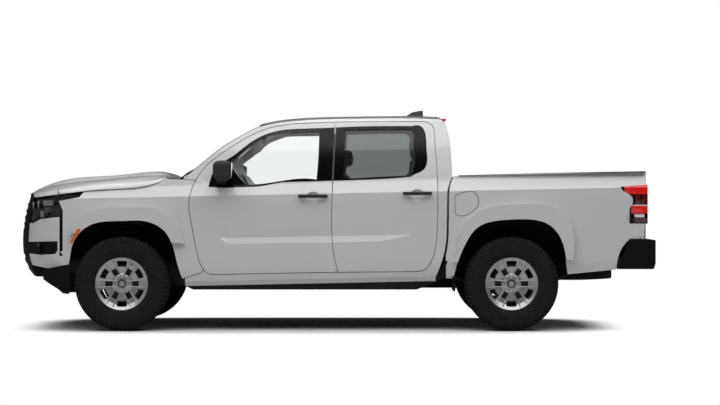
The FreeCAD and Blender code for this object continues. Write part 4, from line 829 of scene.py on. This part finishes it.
class PICKUP_OT_wheels(bpy.types.Operator):
    """Finish the wheels, their centre caps, nuts, valves and brake discs, with painted shade inside the rims
    """
    bl_idname = "pickup.wheels"
    bl_label = "Wheels"

    def execute(self, context):
        for end, side, sign in WHEELS:
            node = "wheel_%s_%s" % (end, side)
            low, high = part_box(node)
            x, y, z = [(a + b) / 2 for a, b in zip(low, high)]
            wheel = refine_node(node, "wheel_paint", 0.0012)

            def radius(p):
                return math.hypot(p.x - x, p.z - z)

            inward = -sign
            # The brake disc inside the wheel, in steel darker than bare steel: partly its own grey, partly
            # painted shade.
            paint_faces(wheel, "disc_steel", lambda p, n: inward * (p.y - y) > -0.045 and radius(p) < 0.16)
            # Painted shade: the walls of the windows and the inside of the rim are gloss black instead of
            # silver, for the shade deep in the wheel.
            paint_faces(wheel, "gloss_black", lambda p, n: abs(n.y) < 0.4 and inward * (p.y - y) > -0.095
                        and 0.085 < radius(p) < 0.195)
            paint_faces(wheel, "chrome", lambda p, n: inward * (p.y - y) < -0.068
                        and 0.0445 < radius(p) < 0.0685 and is_near_stud(p, x, z))
            face_y = y + sign * (high[1] - low[1]) / 2
            angle = math.radians(62)
            stem_r = 0.175
            base = Vector((x + stem_r * math.cos(angle), face_y - sign * 0.034, z + stem_r * math.sin(angle)))
            stem = add_rod("valve_stem_" + end + "_" + side, [base, base + Vector((0, sign * 0.030, 0))],
                           0.0042)
            finish_piece(stem, "black_plastic", node)
        low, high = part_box("wheel_front_left")
        first_x, z = (low[0] + high[0]) / 2, (low[2] + high[2]) / 2
        trims = add_wheel_trims(first_x, low[1], z)
        for end, side, sign in WHEELS:
            node = "wheel_%s_%s" % (end, side)
            low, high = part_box(node)
            move = Matrix.Translation(((low[0] + high[0]) / 2 - first_x, 0, 0))
            for trim, finish in zip(trims, ("wheel_paint", "gloss_black")):
                placed = copy_of(trim, "%s_%s_%s" % (trim.name, end, side),
                                 move if sign < 0 else move @ MIRROR)
                finish_piece(placed, finish, node)
        for trim in trims:
            bpy.data.objects.remove(trim)
        return {"FINISHED"}


STUD_CIRCLE = 0.057
STUD_COUNT = 6


def is_near_stud(p, x, z):
    for i in range(STUD_COUNT):
        a = math.radians(90 + 360 / STUD_COUNT * i)
        if math.hypot(p.x - x - STUD_CIRCLE * math.cos(a), p.z - z - STUD_CIRCLE * math.sin(a)) < 0.0115:
            return True
    return False


PAINTED = ["cab_shell", "hood", "front_fenders", "front_bumper", "cargo_bed", "tailgate", "fuel_door",
           "door_front_left", "door_front_right", "door_rear_left", "door_rear_right"]
CABIN_CENTRE = Vector((0.2, 0.0, 1.2))
LINING_LOW_Z = 1.19
CARPET_TOP_Z = 0.58
DOOR_INNER_Y = 0.79
AXLE_Z = 0.388
ARCH_REACH = 0.56
ARCH_LIP_Y = 0.905
HOUSE_INNER_Y = 0.62


# Where the ledge is cut along the doors, with how far the cutter stands off there, and the cutter's section.
LEDGE_STATIONS = ((-0.950, 0.030), (-0.868, 0.0), (0.400, 0.0), (0.850, 0.030))
LEDGE_SECTION = ((0.9075, -0.077), (0.8764, 0.0), (0.9195, 0.300))
LEDGE_TOP_Z = 0.7648
LEDGE_START_X = -0.935
LEDGE_RISE = 0.0174
# The black strip between the bumper's corner and the fender: its heights, its cuts by plane, its lengths.
STRIP_Z = (0.617, 0.978)
STRIP_CUTS = {"front_bumper": (((-2.243, 0, 0), (1, 0, 0)), ((0, 0, STRIP_Z[0]), (0, 0, 1))),
              "front_fenders": (((-2.216, 0, 0), (1, 0, 0)), ((0, 0, STRIP_Z[0]), (0, 0, 1)),
                                ((0, 0, STRIP_Z[1]), (0, 0, 1)))}
STRIP_X = {"front_bumper": (-2.243, -2.15), "front_fenders": (-2.40, -2.216)}


def add_ledge_wedge():
    # The cutter of the ledge along the lower third of the doors, for both sides.
    begin()
    points = []
    for x, off in LEDGE_STATIONS:
        top = LEDGE_TOP_Z + (x - LEDGE_START_X) * LEDGE_RISE
        points += [(x, -y - off, top + z) for y, z in LEDGE_SECTION]
    faces = [(0, 1, 2), (9, 11, 10)]
    for i in range(0, 9, 3):
        faces += [(i + a, i + b, i + b + 3, i + a + 3) for a, b in ((0, 2), (2, 1), (1, 0))]
    mesh = bpy.data.meshes.new("ledge_wedge")
    mesh.from_pydata(points, [], faces)
    left = bpy.data.objects.new("ledge_wedge", mesh)
    bpy.context.scene.collection.objects.link(left)
    face_outwards(left)
    return join_pieces("ledge_wedge", [left, copy_of(left, "ledge_right", MIRROR)])


class PICKUP_OT_body(bpy.types.Operator):
    """Finish the body panels with rounded edges and white paint, and line what faces the cabin"""
    bl_idname = "pickup.body"
    bl_label = "Body panels"

    def execute(self, context):
        wedge = add_ledge_wedge()
        for node in PAINTED:
            cutter = wedge if node.startswith("door_") else None
            panel = refine_node(node, "body_paint", truck().panel_edge, cutter=cutter,
                                cuts=STRIP_CUTS.get(node, ()))
            if node in STRIP_CUTS:
                low, high = STRIP_X[node]
                paint_faces(panel, "gloss_black", lambda p, n: low < p.x < high
                            and STRIP_Z[0] < p.z < STRIP_Z[1] and abs(n.y) > 0.3)
            if node == "cab_shell":
                paint_faces(panel, "pale_lining", lambda p, n: faces_cabin(p, n) and p.z > LINING_LOW_Z)
                paint_faces(panel, "charcoal_plastic", lambda p, n: faces_cabin(p, n)
                            and CARPET_TOP_Z < p.z <= LINING_LOW_Z)
                paint_faces(panel, "carpet", lambda p, n: faces_cabin(p, n) and p.z <= CARPET_TOP_Z)
                paint_faces(panel, "chassis_paint", lambda p, n: n.z < -0.85 and p.z < 0.6)
                paint_faces(panel, "gloss_black", lambda p, n: -0.2 < p.x < 0.2 and 1.17 < p.z < 1.63
                            and n.y * p.y > 0 and abs(n.y) > 0.3 and abs(p.y) > 0.64)
            elif node in ("cargo_bed", "front_fenders"):
                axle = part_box("wheel_rear_left" if node == "cargo_bed" else "wheel_front_left")
                x = (axle[0][0] + axle[1][0]) / 2
                paint_faces(panel, "chassis_paint", lambda p, n: faces_axle(p, n, x))
            elif node.startswith("door_"):
                paint_faces(panel, "charcoal_plastic", lambda p, n: abs(p.y) < DOOR_INNER_Y and n.y * p.y < 0)
                paint_faces(panel, "pale_lining", lambda p, n: abs(p.y) < DOOR_INNER_Y
                            and n.y * p.y < 0 and p.z > LINING_LOW_Z)
        bpy.data.objects.remove(wedge)
        corner = add_outline("bumper_corner", [
            (-2.238, -0.873, 0.656), (-2.150, -0.873, 0.646), (-2.166, -0.873, 0.549)], (0, 0.02, 0))
        both_sides(corner, "bumper_corner", "body_paint", ROOT)
        return {"FINISHED"}


def faces_axle(place, normal, axle_x):
    # True on the inner faces of the wheel arches and under the floor.
    out = Vector((place.x - axle_x, 0, place.z - AXLE_Z))
    near = out.length < ARCH_REACH and abs(place.y) < ARCH_LIP_Y
    inward = normal.dot(out.normalized()) < -0.35 or normal.y * place.y < -0.5 and abs(place.y) > HOUSE_INNER_Y
    return near and inward or place.z < 0.80 and normal.z < -0.7


def faces_cabin(place, normal):
    # True where a face of the shell looks into the cabin.
    inside = abs(place.y) < 0.80 and -1.30 < place.x < 0.93 and 0.50 < place.z < 1.75
    return inside and normal.dot(CABIN_CENTRE - place) > 0


# Finishes that differ from the record's slot, and how far the edges of some pieces are rounded.
FINISHES = {"door_rear_left_glass": "privacy_glass", "door_rear_right_glass": "privacy_glass",
            "cab_glass": "window_glass"}
ROUNDINGS = {"front_valance": 0.003, "rear_bumper": 0.004, "grille": 0.002, "roof_trim": 0.0015,
             "dashboard": 0.006, "steering_wheel": 0.0015}
DONE_ELSEWHERE = ("tyre_", "wheel_", "headlamps", "tail_lamps", "seats")
# The plane that trims the valance's chin from below.
CHIN_PLACE = (-2.637, 0, 0.501)
CHIN_NORMAL = (-0.637, 0, -0.771)


class PICKUP_OT_chassis(bpy.types.Operator):
    """Finish the trims, the glass and everything under the truck"""
    bl_idname = "pickup.chassis"
    bl_label = "Chassis, trims and glass"

    def execute(self, context):
        for part in frame["record"]["subparts"]:
            node = part["node"]
            if node in PAINTED or node.startswith(DONE_ELSEWHERE):
                continue
            finish = FINISHES.get(node, part["material_slot"])
            piece = refine_node(node, finish, ROUNDINGS.get(node, 0.0 if "glass" in node else 0.0008), 24)
            if node == "front_valance":
                cut_across(piece, CHIN_PLACE, CHIN_NORMAL, clear_outer=True, use_fill=True)
            if node.startswith("door_") and node.endswith("trim"):
                paint_faces(piece, "gloss_black", lambda p, n: abs(p.y) < 0.90
                            and p.z > 1.17 and abs(n.y) > 0.5)
                paint_faces(piece, "gloss_black", lambda p, n: p.x < -0.85 and p.z > 1.17 and abs(p.y) < 0.88)
        return {"FINISHED"}


# Heights and lengths at which the tail lamp changes colour, and the finish of each field between them.
TAIL_CUTS_Z = (0.890, 0.928, 0.934, 0.959, 0.965, 1.028, 1.037, 1.125)
TAIL_CUTS_X = (2.400, 2.441, 2.456, 2.483, 2.490, 2.533, 2.546, 2.565)
TAIL_FIELDS = (
    ("red_lens", 2.400, 2.70, 1.125, 1.25), ("dark_red_lens", 2.490, 2.533, 1.037, 1.125),
    ("dark_red_lens", 2.546, 2.70, 1.037, 1.125), ("white_lens", 2.456, 2.70, 1.028, 1.037),
    ("red_lens", 2.456, 2.70, 0.965, 1.028), ("white_lens", 2.483, 2.565, 0.934, 0.959),
    ("dark_red_lens", 2.483, 2.70, 0.890, 0.928), ("body_paint", 2.300, 2.441, 0.860, 1.037),
)


def cut_across(obj, place, normal, **sides):
    # Cut the whole mesh by a plane and keep both sides, unless told otherwise.
    select(obj)
    bpy.ops.object.mode_set(mode="EDIT")
    bpy.ops.mesh.select_all(action="SELECT")
    bpy.ops.mesh.bisect(plane_co=place, plane_no=normal, **sides)
    bpy.ops.object.mode_set(mode="OBJECT")


def shrink(obj, depth):
    # Move every face inwards.
    select(obj)
    bpy.ops.object.mode_set(mode="EDIT")
    bpy.ops.mesh.select_all(action="SELECT")
    bpy.ops.transform.shrink_fatten(value=-depth, use_even_offset=True)
    bpy.ops.object.mode_set(mode="OBJECT")


class PICKUP_OT_lamps(bpy.types.Operator):
    """Build the head lamps, tail lamps, fog lamps, side markers and the high stop lamp"""
    bl_idname = "pickup.lamps"
    bl_label = "Lamps"

    def execute(self, context):
        tail = refine_node("tail_lamps", "gloss_black")
        for z in TAIL_CUTS_Z:
            cut_across(tail, (0, 0, z), (0, 0, 1))
        for x in TAIL_CUTS_X:
            cut_across(tail, (x, 0, 0), (1, 0, 0))
        for finish, x0, x1, z0, z1 in TAIL_FIELDS:
            paint_faces(tail, finish, lambda p, n: x0 < p.x < x1 and z0 < p.z < z1)
        lens = refine_node("headlamps", "lamp_glass", 0.002)
        housing = copy_of(lens, "headlamp_housing", Matrix.Identity(4))
        del housing["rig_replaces"]
        shrink(housing, 0.010)
        finish_piece(housing, "gloss_black", ROOT)
        bowls = []
        for x, y, z, r in ((-2.495, -0.625, 1.030, 0.030), (-2.440, -0.705, 1.040, 0.028)):
            bowl = add_turned("bowl", [(0.0, 0.0), (0.0, r), (-0.004, r + 0.002), (-0.007, r),
                                       (-0.002, r * 0.5), (0.004, 0.0)], (0, 0, 0), 48)
            bowl.data.transform(Matrix.Translation((x, y, z)) @ Matrix.Rotation(math.radians(-72), 4, "Z"))
            bowls.append(bowl)
        bowls.append(add_outline("side_reflector", [
            (-2.395, -0.758, 1.030), (-2.310, -0.814, 1.030), (-2.298, -0.796, 1.030),
            (-2.383, -0.740, 1.030)], (0, 0, 0.042)))
        bowls.append(add_outline("low_reflector", [
            (-2.410, -0.800, 0.935), (-2.385, -0.812, 0.935), (-2.380, -0.795, 0.935),
            (-2.405, -0.783, 0.935)], (0, 0, 0.05)))
        both_sides(join_pieces("lamp_bowls", bowls), "lamp_bowls", "reflector", ROOT)
        marker = add_outline("marker", [
            (-2.087, FLARE_Y, 0.842), (-2.050, FLARE_Y, 0.844), (-2.128, FLARE_Y, 0.723),
            (-2.153, FLARE_Y, 0.723)], (0, 0.008, 0))
        round_edges(marker, 0.002)
        both_sides(marker, "side_marker", "amber_lens", ROOT)
        fog = add_turned("fog", [(0.0, 0.0), (0.0, 0.036), (-0.010, 0.042), (-0.016, 0.040), (-0.012, 0.032),
                                 (-0.016, 0.0)], (0, 0, 0), 48)
        turned = Matrix.Rotation(math.radians(-62), 4, "Z")
        fog.data.transform(Matrix.Translation((-2.425, -0.765, 0.680)) @ turned)
        both_sides(fog, "fog_lamp", "gloss_black", ROOT)
        stop = add_block("stop_lamp", (0.925, -0.14, 1.757), (0.966, 0.14, 1.773), 0.004)
        finish_piece(stop, "red_lens", ROOT)
        return {"FINISHED"}


FLARE_Y = -0.9275
SEAT_Y = 0.375
# Swelling of the pads: air pressure, time steps, and how far a point may move.
CLOTH_PRESSURE = 4.0
CLOTH_STEPS = 20
CLOTH_CAP = 0.014


def swell(pad, cell):
    # Let a pad swell like a sewn cover over foam, no point further than the cap.
    add_modifier(pad, "REMESH", mode="VOXEL", voxel_size=cell)
    start = [vertex.co.copy() for vertex in pad.data.vertices]
    select(pad)
    cloth = pad.modifiers.new("Cover", "CLOTH")
    cloth.settings.use_pressure = True
    cloth.settings.uniform_pressure_force = CLOTH_PRESSURE
    cloth.settings.effector_weights.gravity = 0
    for step in range(1, CLOTH_STEPS + 1):
        bpy.context.scene.frame_set(step)
    bpy.ops.object.modifier_apply(modifier=cloth.name)
    bpy.context.scene.frame_set(1)
    for vertex, place in zip(pad.data.vertices, start):
        way = vertex.co - place
        if way.length > CLOTH_CAP:
            vertex.co = place + way * (CLOTH_CAP / way.length)


def add_pad(name, size, channels, cell, roundness=0.35):
    # A padded form lying at the origin: rounded, swollen as cloth, then its sewn channels pressed in.
    begin()
    bpy.ops.mesh.primitive_cube_add(size=2, location=(0, 0, 0))
    pad = named(name)
    bpy.ops.object.mode_set(mode="EDIT")
    bpy.ops.mesh.subdivide(number_cuts=10)
    bpy.ops.object.mode_set(mode="OBJECT")
    half = [value / 2 for value in size]
    for vertex in pad.data.vertices:
        x, y, z = vertex.co
        ball = Vector((x * math.sqrt(1 - y * y / 2 - z * z / 2 + y * y * z * z / 3),
                       y * math.sqrt(1 - z * z / 2 - x * x / 2 + z * z * x * x / 3),
                       z * math.sqrt(1 - x * x / 2 - y * y / 2 + x * x * y * y / 3)))
        place = vertex.co.lerp(ball, roundness)
        vertex.co = [place[i] * half[i] for i in range(3)]
    swell(pad, cell)
    for vertex in pad.data.vertices:
        if vertex.co.z > 0:
            for axis, share, depth, spread in channels:
                away = (vertex.co[axis] - share * half[axis]) / spread
                vertex.co.z -= depth * math.exp(-away * away)
    add_modifier(pad, "SUBSURF", levels=1, render_levels=1)
    face_outwards(pad)
    smooth(pad, 60)
    return pad


def add_seat_pad(name, low, high, lean, channels, cell, twin=False, roundness=0.35):
    # A cushion lies flat where lean is None; a back stands up and leans backwards by that many degrees.
    middle = Vector([(a + b) / 2 for a, b in zip(low, high)])
    x, y, z = [b - a for a, b in zip(low, high)]
    if lean is None:
        pad = add_pad(name, (x, y, z), channels, cell, roundness)
        pad.data.transform(Matrix.Translation(middle))
    else:
        pad = add_pad(name, (z, y, x), channels, cell, roundness)
        foot = Vector((middle.x, middle.y, low[2]))
        stand = Matrix.Translation(foot) @ Matrix.Rotation(math.radians(lean - 90), 4, "Y")
        pad.data.transform(stand @ Matrix.Translation((z / 2, 0, 0)))
    pads = [pad]
    if twin:
        pads.append(copy_of(pad, name + "_right", MIRROR))
        pad.name = name + "_left"
    for piece in pads:
        finish_piece(piece, "seat_fabric", ROOT)
    return pads


def lean_about(point, degrees):
    about = Matrix.Translation(point)
    return about @ Matrix.Rotation(math.radians(degrees), 4, "Y") @ about.inverted()


def both_sides(obj, name, finish, left_body, right_body=None):
    # Finish a left-hand piece and give the right side its mirror image.
    twin = copy_of(obj, name + "_right", MIRROR)
    obj.name = name + "_left"
    finish_piece(obj, finish, left_body)
    finish_piece(twin, finish, right_body or left_body)
    return obj, twin


class PICKUP_OT_seats(bpy.types.Operator):
    """Pad the front seats and the rear bench in woven cloth"""
    bl_idname = "pickup.seats"
    bl_label = "Seats"

    def execute(self, context):
        bolsters = ((1, -0.56, 0.012, 0.012), (1, 0.56, 0.012, 0.012))
        seams = bolsters + ((0, -0.15, 0.008, 0.010), (0, 0.32, 0.008, 0.010))
        bench = ((1, -0.33, 0.012, 0.012), (1, 0.33, 0.012, 0.012), (0, 0.1, 0.008, 0.010))
        y = -SEAT_Y
        add_seat_pad("seat_cushion", (-0.555, y - 0.235, 0.67), (-0.09, y + 0.235, 0.812), None, seams, 0.010,
                     True)
        add_seat_pad("seat_back", (-0.085, y - 0.225, 0.71), (0.030, y + 0.225, 1.325), 12, seams, 0.010,
                     True)
        add_seat_pad("head_rest", (0.070, y - 0.120, 1.370), (0.155, y + 0.120, 1.492), 6, (), 0.007, True,
                     0.5)
        add_seat_pad("bench_cushion", (0.295, -0.630, 0.655), (0.745, 0.630, 0.815), None, bench, 0.013)
        add_seat_pad("bench_back", (0.672, -0.630, 0.71), (0.778, 0.630, 1.33), 8, bench, 0.013)
        y = -0.40
        add_seat_pad("rear_rest", (0.810, y - 0.115, 1.340), (0.880, y + 0.115, 1.448), 6, (), 0.007, True,
                     0.5)
        parts = []
        for y in (-SEAT_Y, SEAT_Y):
            for dy in (-0.07, 0.07):
                parts.append(add_rod("post", [(0.085, y + dy, 1.26), (0.112, y + dy, 1.43)], 0.006))
            parts.append(add_block("seat_base", (-0.53, y - 0.2, 0.521), (-0.13, y + 0.2, 0.69), 0.02))
            shell = add_block("seat_shell", (-0.025, y - 0.19, 0.76), (0.018, y + 0.19, 1.26), 0.015)
            shell.data.transform(lean_about((-0.03, y, 0.71), 12))
            parts.append(shell)
        for y in (-0.40, 0.40):
            for dy in (-0.06, 0.06):
                parts.append(add_rod("post", [(0.815, y + dy, 1.27), (0.845, y + dy, 1.38)], 0.006))
        parts.append(add_block("bench_base", (0.335, -0.598, 0.521), (0.735, 0.598, 0.68), 0.02))
        frames = join_pieces("seat_frames", parts)
        finish_piece(frames, "charcoal_plastic", ROOT)
        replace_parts(frames, "seats")
        return {"FINISHED"}


class PICKUP_OT_cabin(bpy.types.Operator):
    """Line the cabin: door cards, grab handles, screen, vents, visors and inner mirror"""
    bl_idname = "pickup.cabin"
    bl_label = "Cabin"

    def execute(self, context):
        inner = -0.7865
        for end, x0, x1, top in (("front", -1.03, -0.10, 1.10), ("rear", 0.13, 0.72, 1.12)):
            card = add_block("door_card", (x0, inner - 0.004, 0.60), (x1, inner + 0.010, top), 0.0055)
            rest = add_block("arm_rest", (x0 + 0.28, inner + 0.006, 0.91),
                             (x1 - 0.06, inner + 0.060, 0.965), 0.018)
            pocket = add_block("door_pocket", (x0 + 0.10, inner + 0.006, 0.62),
                               (x1 - 0.12, inner + 0.045, 0.74), 0.015)
            speaker = add_turned("speaker_ring", [
                (0, 0), (0, 0.075), (0.004, 0.083), (0.010, 0.083), (0.012, 0.075), (0.008, 0.070),
                (0.008, 0)], (x0 + 0.14, inner + 0.006, 0.70), 48)
            pull = add_rod("door_pull", [
                (x0 + 0.32, inner + 0.008, 1.03), (x0 + 0.33, inner + 0.040, 1.03),
                (x0 + 0.42, inner + 0.042, 1.035), (x0 + 0.43, inner + 0.008, 1.035)], 0.009)
            whole = join_pieces("door_card", [card, rest, pocket, speaker, pull])
            both_sides(whole, "door_card_" + end, "charcoal_plastic", "door_%s_left" % end,
                       "door_%s_right" % end)
        grip = add_rod("grab_handle", [
            (-0.865, -0.690, 1.435), (-0.855, -0.665, 1.452), (-0.780, -0.655, 1.530),
            (-0.765, -0.675, 1.545)], 0.013, 16)
        both_sides(grip, "grab_handle", "pale_lining", ROOT)
        visor = add_block("sun_visor", (-0.56, -0.60, 1.632), (-0.40, -0.14, 1.648), 0.007)
        visor.data.transform(lean_about((-0.48, 0, 1.640), -14))
        both_sides(visor, "sun_visor", "pale_lining", ROOT)
        screen = add_block("centre_screen", (-0.905, -0.12, 1.085), (-0.893, 0.12, 1.235), 0.005)
        finish_piece(screen, "gloss_black", ROOT)
        cowl = add_block("instrument_hood", (-1.02, -0.53, 1.19), (-0.86, -0.22, 1.255), 0.03, 4)
        finish_piece(cowl, "charcoal_plastic", ROOT)
        vents = []
        for y in (-0.64, -0.17, 0.17, 0.64):
            for i in range(4):
                z = 1.105 + i * 0.018
                vents.append(add_block("slat", (-0.868, y - 0.045, z), (-0.835, y + 0.045, z + 0.005)))
            vents.append(add_block("vent", (-0.86, y - 0.055, 1.095), (-0.845, y + 0.055, 1.175), 0.006))
        finish_piece(join_pieces("air_vents", vents), "black_plastic", ROOT)
        mirror = add_block("inner_mirror", (-0.62, -0.12, 1.555), (-0.595, 0.12, 1.625), 0.012)
        finish_piece(mirror, "black_plastic", ROOT)
        return {"FINISHED"}


REAR_AXLE_X = 1.470
# Side outline of the panel that closes each front wheel well towards the engine.
SPLASH_PANEL = ((-2.260, 0.400), (-2.240, 0.295), (-2.020, 0.295), (-1.980, 0.560), (-1.200, 0.560),
                (-1.200, 0.700), (-1.300, 0.860), (-1.500, 0.935), (-1.980, 0.935), (-2.200, 0.840))
# The edge of the rear wheel opening, and how far outside it the wheel house lies.
REAR_ARCH = ((1.930, 0.500), (1.916, 0.578), (1.894, 0.696), (1.849, 0.798), (1.798, 0.856), (1.725, 0.897),
             (1.637, 0.915), (1.506, 0.918), (1.359, 0.908), (1.256, 0.886), (1.169, 0.834), (1.110, 0.754),
             (1.059, 0.651), (1.022, 0.548), (1.008, 0.500))
HOUSE_GAP = 0.009
# Side outline of the soft black deflector ahead of each front tyre.
AIR_DEFLECTOR = ((-2.375, 0.510), (-2.155, 0.545), (-2.155, 0.322), (-2.165, 0.303), (-2.210, 0.308),
                 (-2.255, 0.345), (-2.334, 0.395), (-2.375, 0.425))
# The nose's front in plan, how far it leans back with height, the hood's edge in plan, and the sheet's gap.
NOSE_PLAN = ((0.0, -2.669), (0.2, -2.658), (0.4, -2.621), (0.5, -2.589), (0.6, -2.544))
NOSE_LEAN = ((0.81, 0.0), (0.84, 0.003), (0.87, 0.006), (0.93, 0.013), (0.96, 0.023), (0.99, 0.026),
             (1.02, 0.036), (1.05, 0.043), (1.10, 0.058), (1.13, 0.100))
HOOD_PLAN = ((0.0, -2.562), (0.3, -2.562), (0.5, -2.542), (0.6, -2.495))
SHEET_GAP = 0.005


def house_edge(x, z, gap):
    # A point of the wheel opening's edge, moved out from the axle by the gap.
    out = Vector((x - REAR_AXLE_X, z - AXLE_Z)).normalized() * gap
    return x + out.x, z + out.y


def between(table, place):
    # The value that a table of (place, value) pairs gives at a place, on straight lines between its rows.
    for (a, low), (b, high) in zip(table, table[1:]):
        if place <= b:
            return low + (high - low) * (place - a) / (b - a)
    return table[-1][1]


def add_grille_sheet():
    # A solid moulded sheet that follows the nose close behind the grille's slots; the shade in its honeycomb's
    # holes is painted on.
    begin()
    bpy.ops.mesh.primitive_grid_add(x_subdivisions=24, y_subdivisions=22, size=1)
    sheet = named("grille_sheet")
    for vertex in sheet.data.vertices:
        y, z = vertex.co.x * 1.16, 0.965 + vertex.co.y * 0.33
        x = between(NOSE_PLAN, abs(y)) + between(NOSE_LEAN, z) + SHEET_GAP
        vertex.co = (min(x, between(HOOD_PLAN, abs(y))) if z > 1.06 else x, y, z)
    face_outwards(sheet)
    add_modifier(sheet, "SOLIDIFY", thickness=0.003, offset=0)
    smooth(sheet, 50)
    return sheet


class PICKUP_OT_trim(bpy.types.Operator):
    """Add the mirror glass, flaps, guards, rail caps, grille sheet, wheel houses, plate and tie-downs"""
    bl_idname = "pickup.trim"
    bl_label = "Trim"

    def execute(self, context):
        glass = add_block("mirror_glass", (-0.8215, -1.062, 1.256), (-0.8185, -0.925, 1.380), 0.0012)
        both_sides(glass, "mirror_glass", "mirror_silver", "door_front_left", "door_front_right")
        guard = add_outline("stone_guard", [
            (0.925, -0.8895, 0.578), (0.946, -0.8895, 0.572), (0.880, -0.8895, 0.436),
            (0.858, -0.8895, 0.436)], (0, 0.006, 0))
        round_edges(guard, 0.0015)
        both_sides(guard, "stone_guard", "black_plastic", ROOT)
        flap = add_outline("mud_flap", [(0.985, -0.885, 0.45), (1.000, -0.885, 0.45), (1.012, -0.885, 0.36),
                                        (1.004, -0.885, 0.322), (0.990, -0.885, 0.33)], (0, 0.245, 0))
        round_edges(flap, 0.003)
        both_sides(flap, "mud_flap", "black_plastic", ROOT)
        finish_piece(add_grille_sheet(), "grille_mesh", ROOT)
        cap = add_outline("rail_cap", [
            (1.034, -0.846, 1.2735), (1.8, -0.844, 1.2945), (2.575, -0.842, 1.3085), (2.575, -0.842, 1.3135),
            (1.8, -0.844, 1.2995), (1.034, -0.846, 1.2785)], (0, 0.07, 0))
        round_edges(cap, 0.002)
        both_sides(cap, "rail_cap", "black_plastic", ROOT)
        deflector = add_outline("air_deflector", [(x, -0.882, z) for x, z in AIR_DEFLECTOR], (0, 0.02, 0))
        round_edges(deflector, 0.006)
        both_sides(deflector, "air_deflector", "black_plastic", ROOT)
        panel = add_outline("splash_panel", [(x, -0.443, z) for x, z in SPLASH_PANEL], (0, 0.003, 0))
        both_sides(panel, "splash_panel", "black_plastic", ROOT)
        edge = [house_edge(x, z, HOUSE_GAP) for x, z in REAR_ARCH]
        inner = [house_edge(x, z, HOUSE_GAP - 0.004) for x, z in REAR_ARCH]
        liner = add_outline("wheel_house", [(x, -0.815, z) for x, z in edge + inner[::-1]], (0, 0.230, 0))
        plate = add_outline("house_wall", [(x, -0.588, z) for x, z in edge], (0, 0.003, 0))
        house = join_pieces("wheel_house", [liner, plate])
        smooth(house)
        both_sides(house, "wheel_house", "black_plastic", ROOT)
        plate = add_block("rear_plate", (2.6605, -0.150, 0.595), (2.6635, 0.150, 0.707), 0.001)
        finish_piece(plate, "white_lens", ROOT)
        ties = []
        for x in (1.25, 2.35):
            ties.append(add_rod("tie", [
                (x - 0.03, -0.768, 1.12), (x - 0.028, -0.742, 1.12), (x + 0.028, -0.742, 1.12),
                (x + 0.03, -0.768, 1.12)], 0.006))
        both_sides(join_pieces("tie_down", ties), "tie_down", "chrome", ROOT)
        return {"FINISHED"}


OPERATORS = [PICKUP_OT_stage, PICKUP_OT_body, PICKUP_OT_chassis, PICKUP_OT_lamps, PICKUP_OT_tyres,
             PICKUP_OT_wheels, PICKUP_OT_seats, PICKUP_OT_cabin, PICKUP_OT_trim]


class PICKUP_PT_sidebar(bpy.types.Panel):
    """The truck's pieces and sizes in the 3D view's sidebar"""
    bl_label = "Pickup truck"
    bl_space_type = "VIEW_3D"
    bl_region_type = "UI"
    bl_category = "Pickup"

    def draw(self, context):
        for name in ("panel_edge", "lamp_power", "paint_colour"):
            self.layout.prop(truck(), name)
        for operator in OPERATORS:
            self.layout.operator(operator.bl_idname)


CLASSES = [PickupSettings] + OPERATORS + [PICKUP_PT_sidebar]


def register():
    for cls in CLASSES:
        bpy.utils.register_class(cls)
    bpy.types.Scene.pickup = PointerProperty(type=PickupSettings)


def unregister():
    del bpy.types.Scene.pickup
    for cls in reversed(CLASSES):
        bpy.utils.unregister_class(cls)


def main():
    register()
    for operator in OPERATORS:
        group, name = operator.bl_idname.split(".")
        getattr(getattr(bpy.ops, group), name)()
    begin()


if __name__ == "__main__":
    main()
